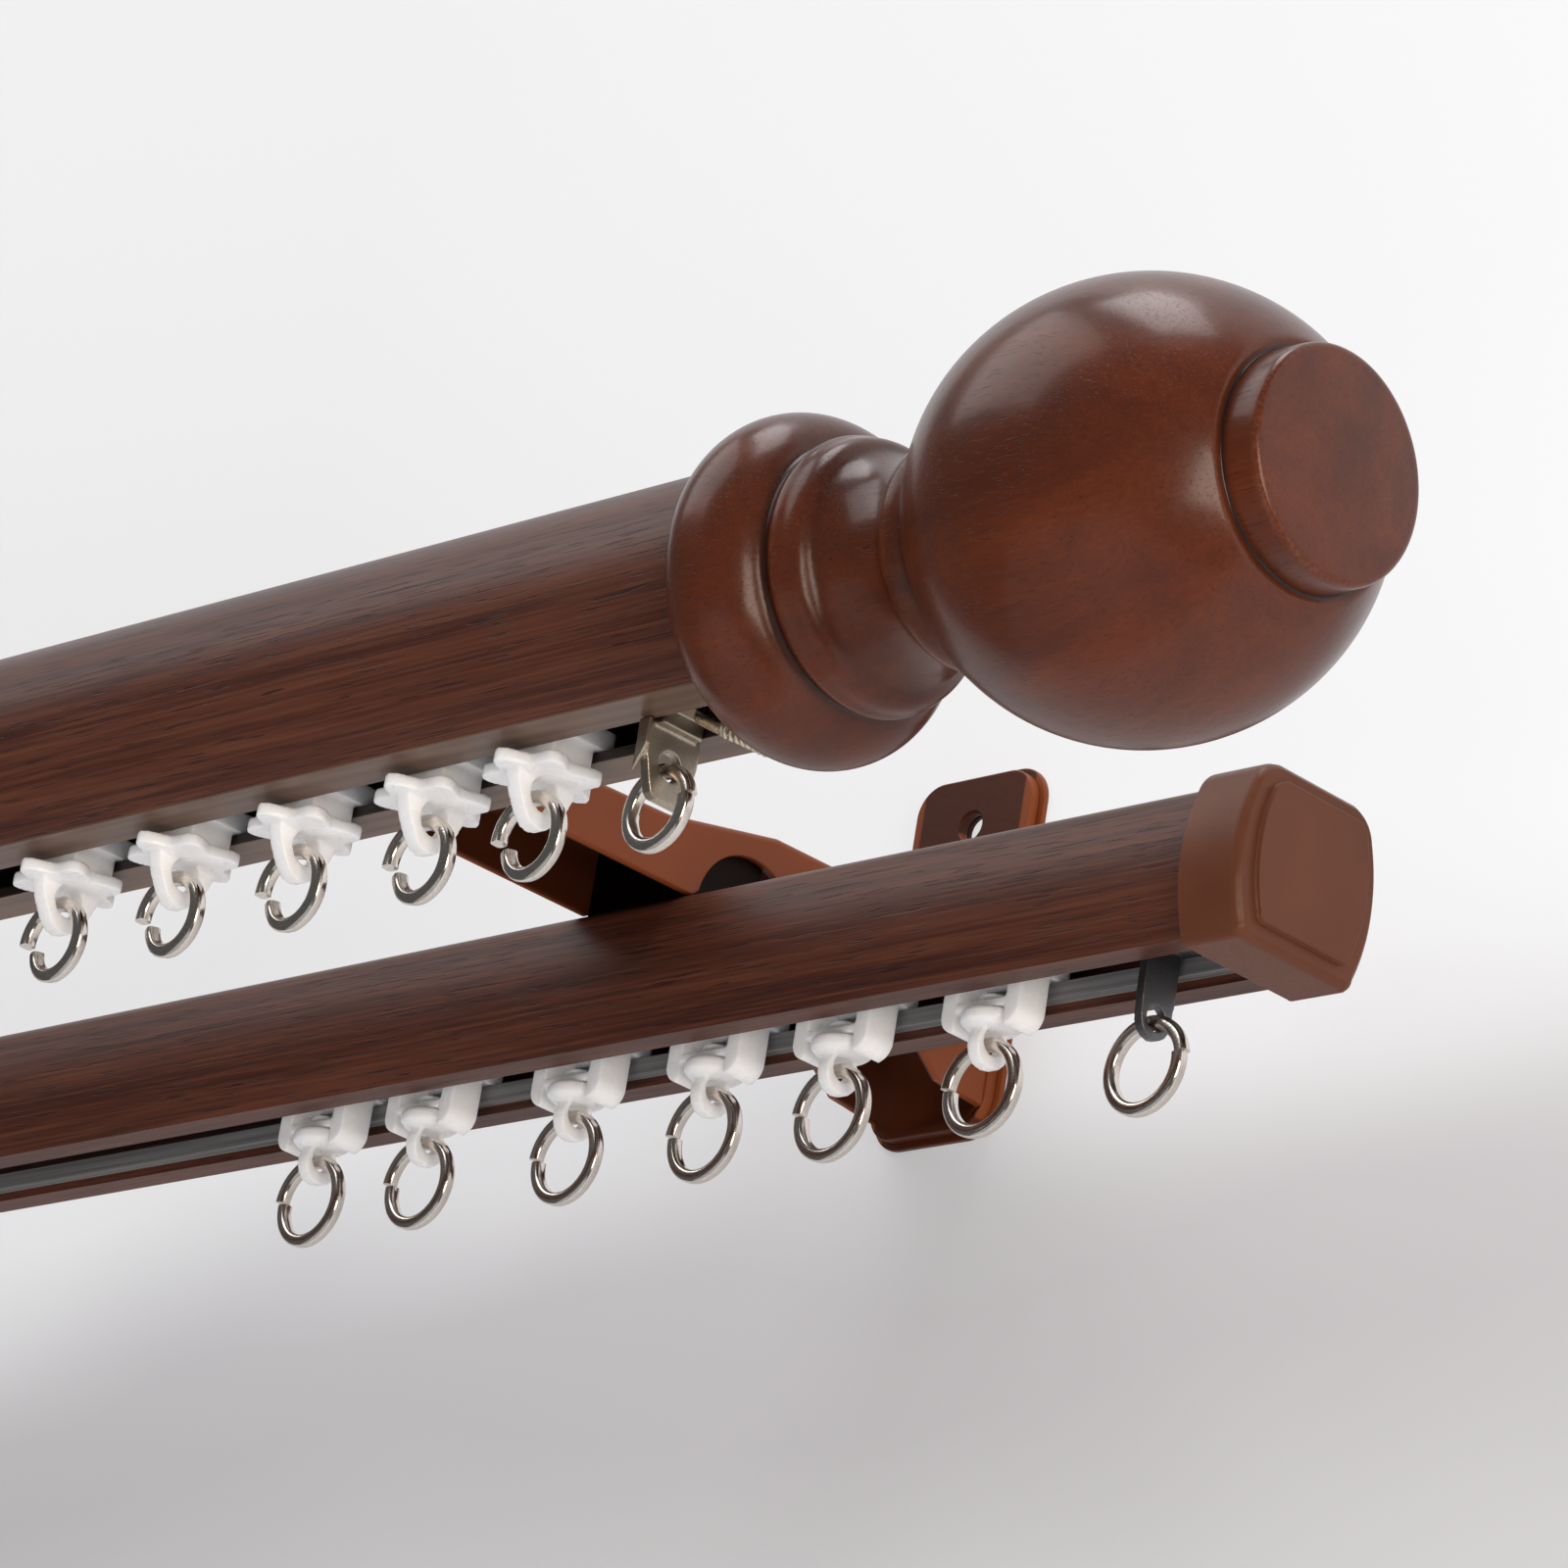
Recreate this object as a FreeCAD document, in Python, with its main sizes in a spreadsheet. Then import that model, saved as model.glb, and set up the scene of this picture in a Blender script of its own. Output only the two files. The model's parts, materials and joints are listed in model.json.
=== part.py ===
import FreeCAD, Part
import math
import os
import Sketcher

V = FreeCAD.Vector

# Driving dimensions in millimetres.
# Heights of a pole's section are counted from the pole's own axis.
DIMENSIONS = {
    # Where the poles hang, counted from the centre of the four wall holes
    "bracket_span": 360.0,
    "front_reach": 156.0,
    "rear_reach": 59.0,
    "pole_drop": 40.0,
    # Front pole: a round aluminium extrusion with a flat, slotted underside
    "front_length": 622.0,
    "front_radius": 17.5,
    "front_flat": 14.6,
    "front_slot": 7.5,
    "front_wall": 1.5,
    "front_web_low": 4.0,
    "front_web_thick": 1.3,
    # Rear pole: a smaller barrel-shaped extrusion, slotted above and below
    "rear_length": 605.0,
    "rear_foot": 9.6,
    "rear_low": 11.0,
    "rear_shoulder": 10.3,
    "rear_shoulder_up": 8.2,
    "rear_crown": 7.0,
    "rear_side_bow": 25.2,
    "rear_corner": 3.7,
    "rear_slot": 11.3,
    "rear_lip": 1.5,
    "rear_wall": 1.4,
    "top_slot": 5.2,
    "top_chamber": 9.8,
    "top_chamber_roof": 9.6,
    "top_chamber_floor": 7.2,
    # Slide strips laid on the rear pole's lips
    "liner_wide": 4.4,
    "liner_high": 2.4,
    "liner_reach": 1.6,
    # Turned finial, counted from its mouth
    "finial_bore": 17.75,
    "finial_bore_depth": 9.25,
    "finial_ball_centre": 60.7,
    "finial_ball_radius": 27.85,
    "finial_ball_bow": 31.0,
    "button_radius": 14.3,
    "button_face": 90.5,
    # Moulded cap on the rear pole's ends
    "cap_wall": 1.75,
    "cap_length": 11.5,
    "cap_floor": 2.6,
    "cap_panel_up": 1.0,
    # Pressed steel bracket
    "arm_wide": 23.0,
    "sheet": 1.5,
    "notch_radius": 9.6,
    "flange_wide": 24.0,
    "flange_thick": 2.0,
    "plate_wide": 26.0,
    "plate_thick": 1.0,
    "wall_hole": 4.6,
    "wall_hole_gap": 16.0,
    # Gliders, eyes and rings
    "front_star": 6.75,
    "front_ring": 4.95,
    "rear_ring": 6.15,
    "ring_wire": 0.95,
    "ring_turn": 345.0,
    "rear_disc": 5.75,
    "run_gap": 0.2,
}

# Where each glider stands along the poles, from the middle of the bracket span.
FRONT_GLIDERS = (262.65, 241.95, 216.95, 192.45, 167.95)
REAR_GLIDERS = (249.15, 220.35, 194.85, 166.35, 134.45, 110.15)
FRONT_STOP = 285.75
REAR_STOP = 279.35


class Size:
    """A length with the sheet formula that gives it."""

    def __init__(self, value, text):
        self.value = float(value)
        self.text = text

    def _join(self, other, sign, value):
        other = size(other)
        return Size(value(self.value, other.value), f"({self.text} {sign} {other.text})")

    def __add__(self, other):
        return self._join(other, "+", lambda a, b: a + b)

    def __sub__(self, other):
        return self._join(other, "-", lambda a, b: a - b)

    def __mul__(self, other):
        return self._join(other, "*", lambda a, b: a * b)

    def __truediv__(self, other):
        return self._join(other, "/", lambda a, b: a / b)

    def __rsub__(self, other):
        return size(other) - self

    def __neg__(self):
        return Size(-self.value, f"(0 - {self.text})")

    __radd__ = __add__
    __rmul__ = __mul__


def size(number):
    """Turn a plain number into a Size, and leave a Size as it is."""
    if isinstance(number, Size):
        return number
    return Size(number, f"{number:.6g}" if number >= 0 else f"(0 - {-number:.6g})")


def root(number):
    return Size(math.sqrt(number.value), f"sqrt({number.text})")


doc = FreeCAD.newDocument("double_curtain_pole")


def make_sheet():
    """Put the driving dimensions in a spreadsheet and return them as sizes."""
    sheet = doc.addObject("Spreadsheet::Sheet", "Sizes")
    named = {}
    for row, (name, value) in enumerate(DIMENSIONS.items(), start=1):
        sheet.set(f"A{row}", name)
        sheet.set(f"B{row}", str(value))
        sheet.setAlias(f"B{row}", name)
        named[name] = Size(value, f"Sizes.{name}")
    doc.recompute()
    return named


d = make_sheet()


# Helpers for bodies and sketches
def make_body(label):
    body = doc.addObject("PartDesign::Body", label)
    body.Label = label
    return body


def origin_plane(body, role):
    for feature in body.Origin.OriginFeatures:
        if feature.Role == role:
            return feature
    raise ValueError(role)


def new_sketch(body, role, offset=None):
    """Add a sketch on one of the body's origin planes, moved along its normal by offset."""
    sketch = body.newObject("Sketcher::SketchObject", "Sketch")
    sketch.AttachmentSupport = (origin_plane(body, role), [""])
    sketch.MapMode = "FlatFace"
    if offset is not None:
        sketch.setExpression("AttachmentOffset.Base.z", size(offset).text)
    return sketch


def pin_point(sketch, geo, pos, point):
    """Hold a point of the sketch at its two sizes from the sketch's origin."""
    for kind, coordinate, axis in (("DistanceX", point[0], -2), ("DistanceY", point[1], -1)):
        if abs(coordinate.value) < 1e-9:
            sketch.addConstraint(Sketcher.Constraint("PointOnObject", geo, pos, axis))
        else:
            index = sketch.addConstraint(Sketcher.Constraint(kind, geo, pos, coordinate.value))
            sketch.setExpression(f"Constraints[{index}]", coordinate.text)


def arc_middle(start, end, radius, side, major):
    """Give the middle point of an arc that bulges to one side of its chord."""
    chord = end - start
    half = chord.Length / 2
    drop = math.sqrt(max(radius * radius - half * half, 0.0))
    rise = radius + drop if major else radius - drop
    normal = V(-chord.y, chord.x, 0).normalize()
    return (start + end) / 2 + normal * rise * side


def add_outline(sketch, corners, arcs=None):
    """Draw a closed outline through the corners.

    arcs gives, for the edge that leaves a corner, its radius and the side of the
    chord it bulges to (+1 is left), with a third value for the longer way round.
    """
    arcs = arcs or {}
    corners = [(size(x), size(y)) for x, y in corners]
    spots = [V(x.value, y.value, 0) for x, y in corners]
    ends = []
    for index, corner in enumerate(corners):
        start = spots[index]
        end = spots[(index + 1) % len(spots)]
        if index not in arcs:
            geo = sketch.addGeometry(Part.LineSegment(start, end), False)
            ends.append((geo, 1, 2))
            continue
        radius, side = size(arcs[index][0]), arcs[index][1]
        middle = arc_middle(start, end, radius.value, side, len(arcs[index]) > 2)
        if side > 0:
            geo = sketch.addGeometry(Part.Arc(end, middle, start), False)
            ends.append((geo, 2, 1))
        else:
            geo = sketch.addGeometry(Part.Arc(start, middle, end), False)
            ends.append((geo, 1, 2))
        bound = sketch.addConstraint(Sketcher.Constraint("Radius", geo, radius.value))
        sketch.setExpression(f"Constraints[{bound}]", radius.text)
    for index, (geo, first, last) in enumerate(ends):
        following = ends[(index + 1) % len(ends)]
        sketch.addConstraint(Sketcher.Constraint("Coincident", geo, last, following[0], following[1]))
        pin_point(sketch, geo, first, corners[index])


def add_circle(sketch, centre, radius):
    centre = (size(centre[0]), size(centre[1]))
    radius = size(radius)
    circle = Part.Circle(V(centre[0].value, centre[1].value, 0), V(0, 0, 1), radius.value)
    geo = sketch.addGeometry(circle, False)
    bound = sketch.addConstraint(Sketcher.Constraint("Radius", geo, radius.value))
    sketch.setExpression(f"Constraints[{bound}]", radius.text)
    pin_point(sketch, geo, 3, centre)


def pad(body, sketch, length, symmetric=False, back=False):
    feature = body.newObject("PartDesign::Pad", "Pad")
    feature.Profile = sketch
    feature.setExpression("Length", size(length).text)
    if symmetric:
        feature.SideType = "Symmetric"
    feature.Reversed = back
    return feature


def pocket(body, sketch, length, symmetric=False, back=False):
    feature = body.newObject("PartDesign::Pocket", "Pocket")
    feature.Profile = sketch
    feature.setExpression("Length", size(length).text)
    if symmetric:
        feature.SideType = "Symmetric"
    feature.Reversed = back
    return feature


def revolve(body, sketch, axis="H_Axis"):
    feature = body.newObject("PartDesign::Revolution", "Revolution")
    feature.Profile = sketch
    feature.ReferenceAxis = (sketch, [axis])
    feature.Angle = 360.0
    return feature


def drill(body, spot, turn, radius, depth):
    """Cut a round hole from a spot, along the direction that +Z takes after the turn."""
    hole = body.newObject("PartDesign::SubtractiveCylinder", "Hole")
    hole.AttachmentSupport = (origin_plane(body, "XY_Plane"), [""])
    hole.MapMode = "FlatFace"
    hole.AttachmentOffset = FreeCAD.Placement(V(0, 0, 0), turn)
    for name, value in zip("xyz", spot):
        hole.setExpression(f"AttachmentOffset.Base.{name}", size(value).text)
    hole.setExpression("Radius", size(radius).text)
    hole.setExpression("Height", size(depth).text)
    return hole


def place(item, x, y, z, turn=None):
    """Stand a piece at its place in the whole, after turning it."""
    if turn is not None:
        item.Placement = FreeCAD.Placement(V(0, 0, 0), turn)
    for name, value in zip("xyz", (x, y, z)):
        item.setExpression(f"Placement.Base.{name}", size(value).text)


def about(axis, angle):
    return FreeCAD.Rotation(axis, angle)


HALF_TURN = about(V(0, 0, 1), 180)
front_y = -d["front_reach"]
rear_y = -d["rear_reach"]
pole_z = -d["pole_drop"]
SIDES = (("right", 1, None), ("left", -1, HALF_TURN))


def half_width(radius, height):
    """Half the width of a circle at a height from its centre."""
    return root(radius * radius - height * height)


# Front pole
TAB_ANGLE = 50.0


def make_front_pole():
    body = make_body("front_pole")
    radius, flat, wall = d["front_radius"], d["front_flat"], d["front_wall"]
    inner = radius - wall
    floor = flat - wall
    slot = d["front_slot"] / 2
    web_low = d["front_web_low"]
    web_top = web_low - d["front_web_thick"]
    section = new_sketch(body, "YZ_Plane")
    foot, inner_foot = half_width(radius, flat), half_width(inner, floor)
    shelf = half_width(inner, web_low)
    add_outline(section, [
        (slot, -flat), (foot, -flat), (-foot, -flat), (-slot, -flat),
        (-slot, -floor), (-inner_foot, -floor), (-shelf, -web_low),
        (shelf, -web_low), (inner_foot, -floor), (slot, -floor),
    ], {1: (radius, -1, "long"), 5: (inner, 1), 7: (inner, 1)})
    cell = half_width(inner, web_top)
    add_outline(section, [(-cell, -web_top), (cell, -web_top)], {1: (inner, -1, "long")})
    pad(body, section, d["front_length"], symmetric=True)
    turn = about(V(1, 0, 0), -(90 - TAB_ANGLE))
    reach = radius - 3
    for side in (1, -1):
        spot = (d["bracket_span"] * side / 2, reach * math.cos(math.radians(TAB_ANGLE)),
                reach * math.sin(math.radians(TAB_ANGLE)))
        drill(body, spot, turn, 1.65, 6)
    place(body, 0, front_y, pole_z)
    return body


# Rear pole and everything that follows its section
def rear_side(offset):
    """Points of the rear pole's right side, each moved outwards by offset."""
    return {
        "foot": (d["rear_foot"] + offset, -(d["rear_low"] + offset)),
        "shoulder": (d["rear_shoulder"] + offset, d["rear_shoulder_up"] + offset * 0.3),
        "crown": (d["rear_crown"] + offset * 0.3, d["rear_low"] + offset),
    }


def bow_width(height, offset=0.0):
    """Half width of the rear pole's bowed side at a height."""
    low = rear_side(0)["foot"]
    high = rear_side(0)["shoulder"]
    run, rise = high[0] - low[0], high[1] - low[1]
    chord = root(run * run + rise * rise)
    drop = root(d["rear_side_bow"] * d["rear_side_bow"] - chord * chord / 4)
    centre_y = (low[0] + high[0]) / 2 - drop * rise / chord
    centre_z = (low[1] + high[1]) / 2 + drop * run / chord
    bow = d["rear_side_bow"] + offset
    lift = size(height) - centre_z
    return centre_y + root(bow * bow - lift * lift)


def mirrored(points):
    return [(-x, y) for x, y in reversed(points)]


def rear_ring_outline(sketch, offset, heel=1.4):
    """Draw the rear pole's outer form without its slots, moved outwards by offset."""
    side = rear_side(offset)
    foot = side["foot"]
    half = [(foot[0] - heel, foot[1]), (foot[0] + heel * 0.25, foot[1] + heel),
            side["shoulder"], side["crown"]]
    bow, corner = d["rear_side_bow"] + offset, d["rear_corner"] + offset
    add_outline(sketch, half + mirrored(half), {
        0: (heel, -1), 1: (bow, -1), 2: (corner, -1), 4: (corner, -1), 5: (bow, -1), 6: (heel, -1),
    })


def make_rear_pole():
    body = make_body("rear_pole")
    wall, lip = d["rear_wall"], d["rear_lip"]
    low = d["rear_low"]
    slot, gap, chamber = d["rear_slot"] / 2, d["top_slot"] / 2, d["top_chamber"] / 2
    roof, floor = d["top_chamber_roof"], d["top_chamber_floor"]
    lip_top = -(low - lip)
    web_low, web_top = -1.0, 0.3
    side = rear_side(0)
    inner_bow = d["rear_side_bow"] - wall
    right = [
        (bow_width(web_low, -wall), size(web_low)), (bow_width(lip_top, -wall), lip_top),
        (slot, lip_top), (slot, -low), side["foot"], side["shoulder"], side["crown"],
        (gap, low), (gap, roof), (chamber, roof), (chamber, floor),
    ]
    section = new_sketch(body, "YZ_Plane")
    add_outline(section, right + mirrored(right), {
        0: (inner_bow, 1), 4: (d["rear_side_bow"], -1), 5: (d["rear_corner"], -1),
        15: (d["rear_corner"], -1), 16: (d["rear_side_bow"], -1), 20: (inner_bow, 1),
    })
    cell_top = floor - 1.2
    cell = [(bow_width(web_top, -wall), size(web_top)), (bow_width(cell_top, -wall), cell_top)]
    add_outline(section, cell + mirrored(cell), {0: (inner_bow, -1), 2: (inner_bow, -1)})
    pad(body, section, d["rear_length"], symmetric=True)
    place(body, 0, rear_y, pole_z)
    return body


def make_liner(name, side):
    """A slide strip on one lip of the rear pole, standing a little into the slot."""
    body = make_body(name)
    section = new_sketch(body, "YZ_Plane")
    edge = d["rear_slot"] / 2 - d["liner_reach"]
    far = edge + d["liner_wide"]
    floor = -(d["rear_low"] - d["rear_lip"])
    top = floor + d["liner_high"]
    add_outline(section, [(edge * side, floor), (far * side, floor), (far * side, top),
                          (edge * side, top)])
    pad(body, section, d["rear_length"] - 28, symmetric=True)
    place(body, 0, rear_y, pole_z)
    return body


# Finials and their screws
SCREW_DIP = 29.0


def make_finial(name, side, turn):
    body = make_body(name)
    bore, depth = d["finial_bore"], d["finial_bore_depth"]
    centre, ball, bow = d["finial_ball_centre"], d["finial_ball_radius"], d["finial_ball_bow"]
    button, face = d["button_radius"], d["button_face"]
    sink = bow - ball
    ball_start, ball_end = size(14.0), size(15.4)
    start_x = centre - root(bow * bow - (ball_start + sink) * (ball_start + sink))
    end_x = centre + root(bow * bow - (ball_end + sink) * (ball_end + sink))
    profile = new_sketch(body, "XZ_Plane")
    add_outline(profile, [
        (0, bore), (0, 19.2), (0.6, 20.2), (13.2, 18.2), (13.7, 17.1), (14.9, 16.8),
        (15.3, 17.4), (17.2, 17.0), (20.0, 15.0), (29.4, 12.6), (30.0, 13.3), (33.6, 14.3),
        (start_x, ball_start), (end_x, ball_end), (end_x - 0.5, button + 0.1),
        (face - 0.7, button), (face, button - 0.8), (face + 0.6, 0), (depth, 0), (depth, bore),
    ], {
        1: (1.2, 1), 2: (8.6, 1), 4: (0.9, -1), 6: (1.6, 1), 7: (2.6, 1), 8: (9.4, -1),
        10: (2.4, 1), 12: (bow, 1), 15: (0.9, 1), 16: (150.0, 1),
    })
    revolve(body, profile)
    drill(body, (-2.0, 0, -16.4), about(V(0, 1, 0), 90 + SCREW_DIP), 1.5, 9.2)
    mouth = d["front_length"] / 2 - depth
    place(body, mouth * side, front_y, pole_z, turn)
    return body


def screw_body(name, head_radius, head_length, shank_radius, shank_length, tip):
    """A round-headed screw along +X: the head ends at the origin, the shank goes on."""
    body = make_body(name)
    profile = new_sketch(body, "XZ_Plane")
    edge = head_radius * 0.3
    add_outline(profile, [
        (-head_length, 0), (-head_length, head_radius - edge), (-(head_length - edge), head_radius),
        (0, head_radius), (0, shank_radius), (shank_length - tip, shank_radius),
        (shank_length, shank_radius * 0.25), (shank_length, 0),
    ], {1: (edge, 1)})
    revolve(body, profile)
    return body


def gather(name, bodies):
    """Show several loose solids as one sub-part."""
    group = doc.addObject("Part::Compound", name)
    group.Label = name
    group.Links = bodies
    return group


def make_finial_screws():
    pair = []
    mouth = d["front_length"] / 2 - d["finial_bore_depth"]
    for word, side, turn in SIDES:
        screw = screw_body(f"finial_screw_{word}", size(2.1), size(4.2), size(1.35), size(8.2), size(1.6))
        dip = about(V(0, 1, 0), SCREW_DIP)
        spin = turn.multiply(dip) if turn else dip
        place(screw, (mouth - 2.3) * side, front_y, pole_z - 16.3, spin)
        pair.append(screw)
    return gather("finial_screws", pair)


# End caps of the rear pole
def rear_layer(body, x, offset):
    layer = new_sketch(body, "YZ_Plane", x)
    rear_ring_outline(layer, size(offset))
    return layer


def make_end_cap(name, side, turn):
    """A moulded cap: skirt, eased end and a raised panel."""
    body = make_body(name)
    wall, length = d["cap_wall"], d["cap_length"]
    brow = length - d["cap_panel_up"]
    eased = ((0.0, 1.6), (0.25, 0.7), (0.9, 0.0))
    pad(body, rear_layer(body, 0, wall), brow - eased[0][1])
    for (near_in, near_back), (far_in, far_back) in zip(eased, eased[1:]):
        bevel = body.newObject("PartDesign::AdditiveLoft", "Bevel")
        bevel.Profile = rear_layer(body, brow - near_back, wall - near_in)
        bevel.Sections = [rear_layer(body, brow - far_back, wall - far_in)]
        bevel.Ruled = True
    pad(body, rear_layer(body, 0, -0.9), length)
    hollow = new_sketch(body, "YZ_Plane")
    rear_ring_outline(hollow, size(0.15), 0.3)
    pocket(body, hollow, length - d["cap_floor"], back=True)
    start = d["rear_length"] / 2 - (length - d["cap_floor"])
    place(body, start * side, rear_y, pole_z, turn)
    return body


# Brackets
def arm_side_points():
    """The bracket arm's side outline, counted from the front pole's axis."""
    wall = d["front_reach"] - d["flange_thick"] - d["plate_thick"]
    notch = d["front_reach"] - d["rear_reach"] + 4
    return wall, notch


def make_arm(name, side):
    body = make_body(name)
    wall, notch = arm_side_points()
    seat = d["front_radius"]
    sheet, wide = d["sheet"], d["arm_wide"]
    drop = root(d["notch_radius"] * d["notch_radius"] - 1.2 * 1.2)
    tip_high, tip_low = 8.6, 13.4
    outline = new_sketch(body, "YZ_Plane")
    add_outline(outline, [
        (tip_high, 21.0), (tip_high, half_width(seat, size(tip_high))),
        (tip_low, half_width(seat, size(tip_low))), (16.0, 11.8),
        (notch - drop - 1.2, 11.6), (notch - drop, 12.6), (notch + drop, 12.6),
        (notch + drop + 1.6, 11.8), (138.4, 6.4), (143.6, 2.3), (wall, 1.4),
        (wall, 26.2), (105.0, 26.0), (89.0, 22.8), (84.0, 21.8), (70.0, 21.4),
    ], {1: (seat, 1), 5: (d["notch_radius"], 1)})
    pad(body, outline, wide, symmetric=True)
    flange = new_sketch(body, "XZ_Plane", -wall)
    low, high, corner = -1.6, 56.0, 5.0
    half = d["flange_wide"] / 2
    flange_points = [(half, low + corner), (half, high - corner), (half - corner, high)]
    add_outline(flange, [(half - corner, low)] + flange_points + mirrored(flange_points)
                + [(corner - half, low)],
                {0: (corner, -1), 2: (corner, -1), 4: (corner, -1), 6: (corner, -1)})
    pad(body, flange, d["flange_thick"], back=True)
    hollow = new_sketch(body, "YZ_Plane")
    inner = seat + sheet
    inner_high = tip_high + 1.6
    add_outline(hollow, [
        (inner_high, 19.5), (inner_high, half_width(inner, size(inner_high))),
        (15.4, half_width(inner, size(15.4))), (15.4, -8.0), (wall, -8.0), (wall, 24.7),
        (105.0, 24.5), (89.0, 21.3), (84.0, 20.3), (70.0, 19.9),
    ], {1: (inner, 1)})
    pocket(body, hollow, wide - sheet * 2, symmetric=True)
    holes = new_sketch(body, "XZ_Plane", -wall)
    for step in (-1, 1):
        height = d["pole_drop"] + d["wall_hole_gap"] * step / 2
        add_circle(holes, (0, height), d["wall_hole"] / 2)
    pocket(body, holes, d["flange_thick"], back=False)
    turn = about(V(1, 0, 0), -(90 - TAB_ANGLE))
    reach = seat - 1
    drill(body, (0, reach * math.cos(math.radians(TAB_ANGLE)), reach * math.sin(math.radians(TAB_ANGLE))),
          turn, 1.8, 4)
    drill(body, (0, d["front_reach"] - d["rear_reach"], 20), about(V(0, 0, 1), 0), 2.3, 8)
    place(body, d["bracket_span"] * side / 2, front_y, pole_z)
    return body


def make_wall_plate(name, side):
    body = make_body(name)
    outline = new_sketch(body, "XZ_Plane")
    half, corner = d["plate_wide"] / 2, 6.0
    low, high = -(d["pole_drop"] + 2.6), 57.0 - d["pole_drop"]
    points = [(half, low + corner), (half, high - corner), (half - corner, high)]
    add_outline(outline, [(half - corner, low)] + points + mirrored(points) + [(corner - half, low)],
                {0: (corner, -1), 2: (corner, -1), 4: (corner, -1), 6: (corner, -1)})
    for step in (-1, 1):
        add_circle(outline, (0, d["wall_hole_gap"] * step / 2), d["wall_hole"] / 2)
    pad(body, outline, d["plate_thick"])
    place(body, d["bracket_span"] * side / 2, 0, 0)
    return body


def make_hanger(name, side):
    """The block inside the arm whose foot hooks into the rear pole's top slot."""
    body = make_body(name)
    outline = new_sketch(body, "YZ_Plane")
    slope = (24.5 - 21.3) / (105.0 - 89.0)
    centre = d["front_reach"] - d["rear_reach"]
    top_front = 21.3 + (90 - 89) * slope
    neck, foot = d["top_slot"] / 2 - 0.2, d["top_chamber"] / 2 - 0.4
    low, roof, floor = d["rear_low"], d["top_chamber_roof"], d["top_chamber_floor"] + 0.4
    reach = 7.0
    add_outline(outline, [
        (-reach, low), (-neck, low), (-neck, roof), (-foot, roof), (-foot, floor), (foot, floor),
        (foot, roof), (neck, roof), (neck, low), (reach, low),
        (reach, top_front + reach * 2 * slope), (-reach, top_front),
    ])
    pad(body, outline, d["arm_wide"] - d["sheet"] * 2, symmetric=True)
    drill(body, (0, 0, 0), about(V(0, 0, 1), 0), 2.0, 30)
    place(body, d["bracket_span"] * side / 2, front_y + centre, pole_z)
    return body


def make_lock_screws():
    """Grub screws that go down through the hangers and press on the rear pole."""
    pair = []
    for word, side, turn in SIDES:
        screw = doc.addObject("Part::Cylinder", f"lock_screw_{word}")
        screw.Radius = 2.0
        screw.Height = 15.0
        place(screw, d["bracket_span"] * side / 2, rear_y, pole_z + d["top_chamber_floor"])
        pair.append(screw)
    return gather("lock_screws", pair)


def make_pole_screws():
    """Screws from inside the arms' tips into the back of the front pole."""
    pair = []
    seat = d["front_radius"] + d["sheet"]
    for word, side, turn in SIDES:
        screw = screw_body(f"pole_screw_{word}", size(2.8), size(1.9), size(1.6), size(8.0), size(1.6))
        spin = about(V(1, 0, 0), TAB_ANGLE).multiply(about(V(0, 0, 1), -90))
        place(screw, d["bracket_span"] * side / 2,
              front_y + seat * math.cos(math.radians(TAB_ANGLE)),
              pole_z + seat * math.sin(math.radians(TAB_ANGLE)), spin)
        pair.append(screw)
    return gather("pole_screws", pair)


# Rings
def make_ring(name, x, y, z, middle, turn_about_z=0.0):
    """An open wire ring hanging in the plane of the pole, its gap on the left."""
    ring = doc.addObject("Part::Torus", name)
    ring.Label = name
    ring.setExpression("Radius1", middle.text)
    ring.setExpression("Radius2", d["ring_wire"].text)
    ring.setExpression("Angle3", d["ring_turn"].text)
    stand = about(V(1, 0, 0), 90)
    gap = about(V(0, 0, 1), 190)
    place(ring, x, y, z, about(V(0, 0, 1), turn_about_z).multiply(stand).multiply(gap))
    return ring


# Gliders of the front pole
FRONT_WIRE_Z = -20.1
REAR_WIRE_Z = -16.75
STOP_WIRE_Z = -17.6


def add_tongue(body, top, wide_top, wide_low, hole_z, hole_radius, low, thick):
    """An eye tongue in the cross plane, with the hole for a ring along the pole."""
    tongue = new_sketch(body, "YZ_Plane")
    round_foot = wide_low * 1.01
    shoulder = low + round_foot - root(round_foot * round_foot - wide_low * wide_low)
    add_outline(tongue, [(wide_top, top), (-wide_top, top), (-wide_low, shoulder), (wide_low, shoulder)],
                {2: (round_foot, -1)})
    add_circle(tongue, (0, hole_z), hole_radius)
    pad(body, tongue, thick, symmetric=True)


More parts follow.
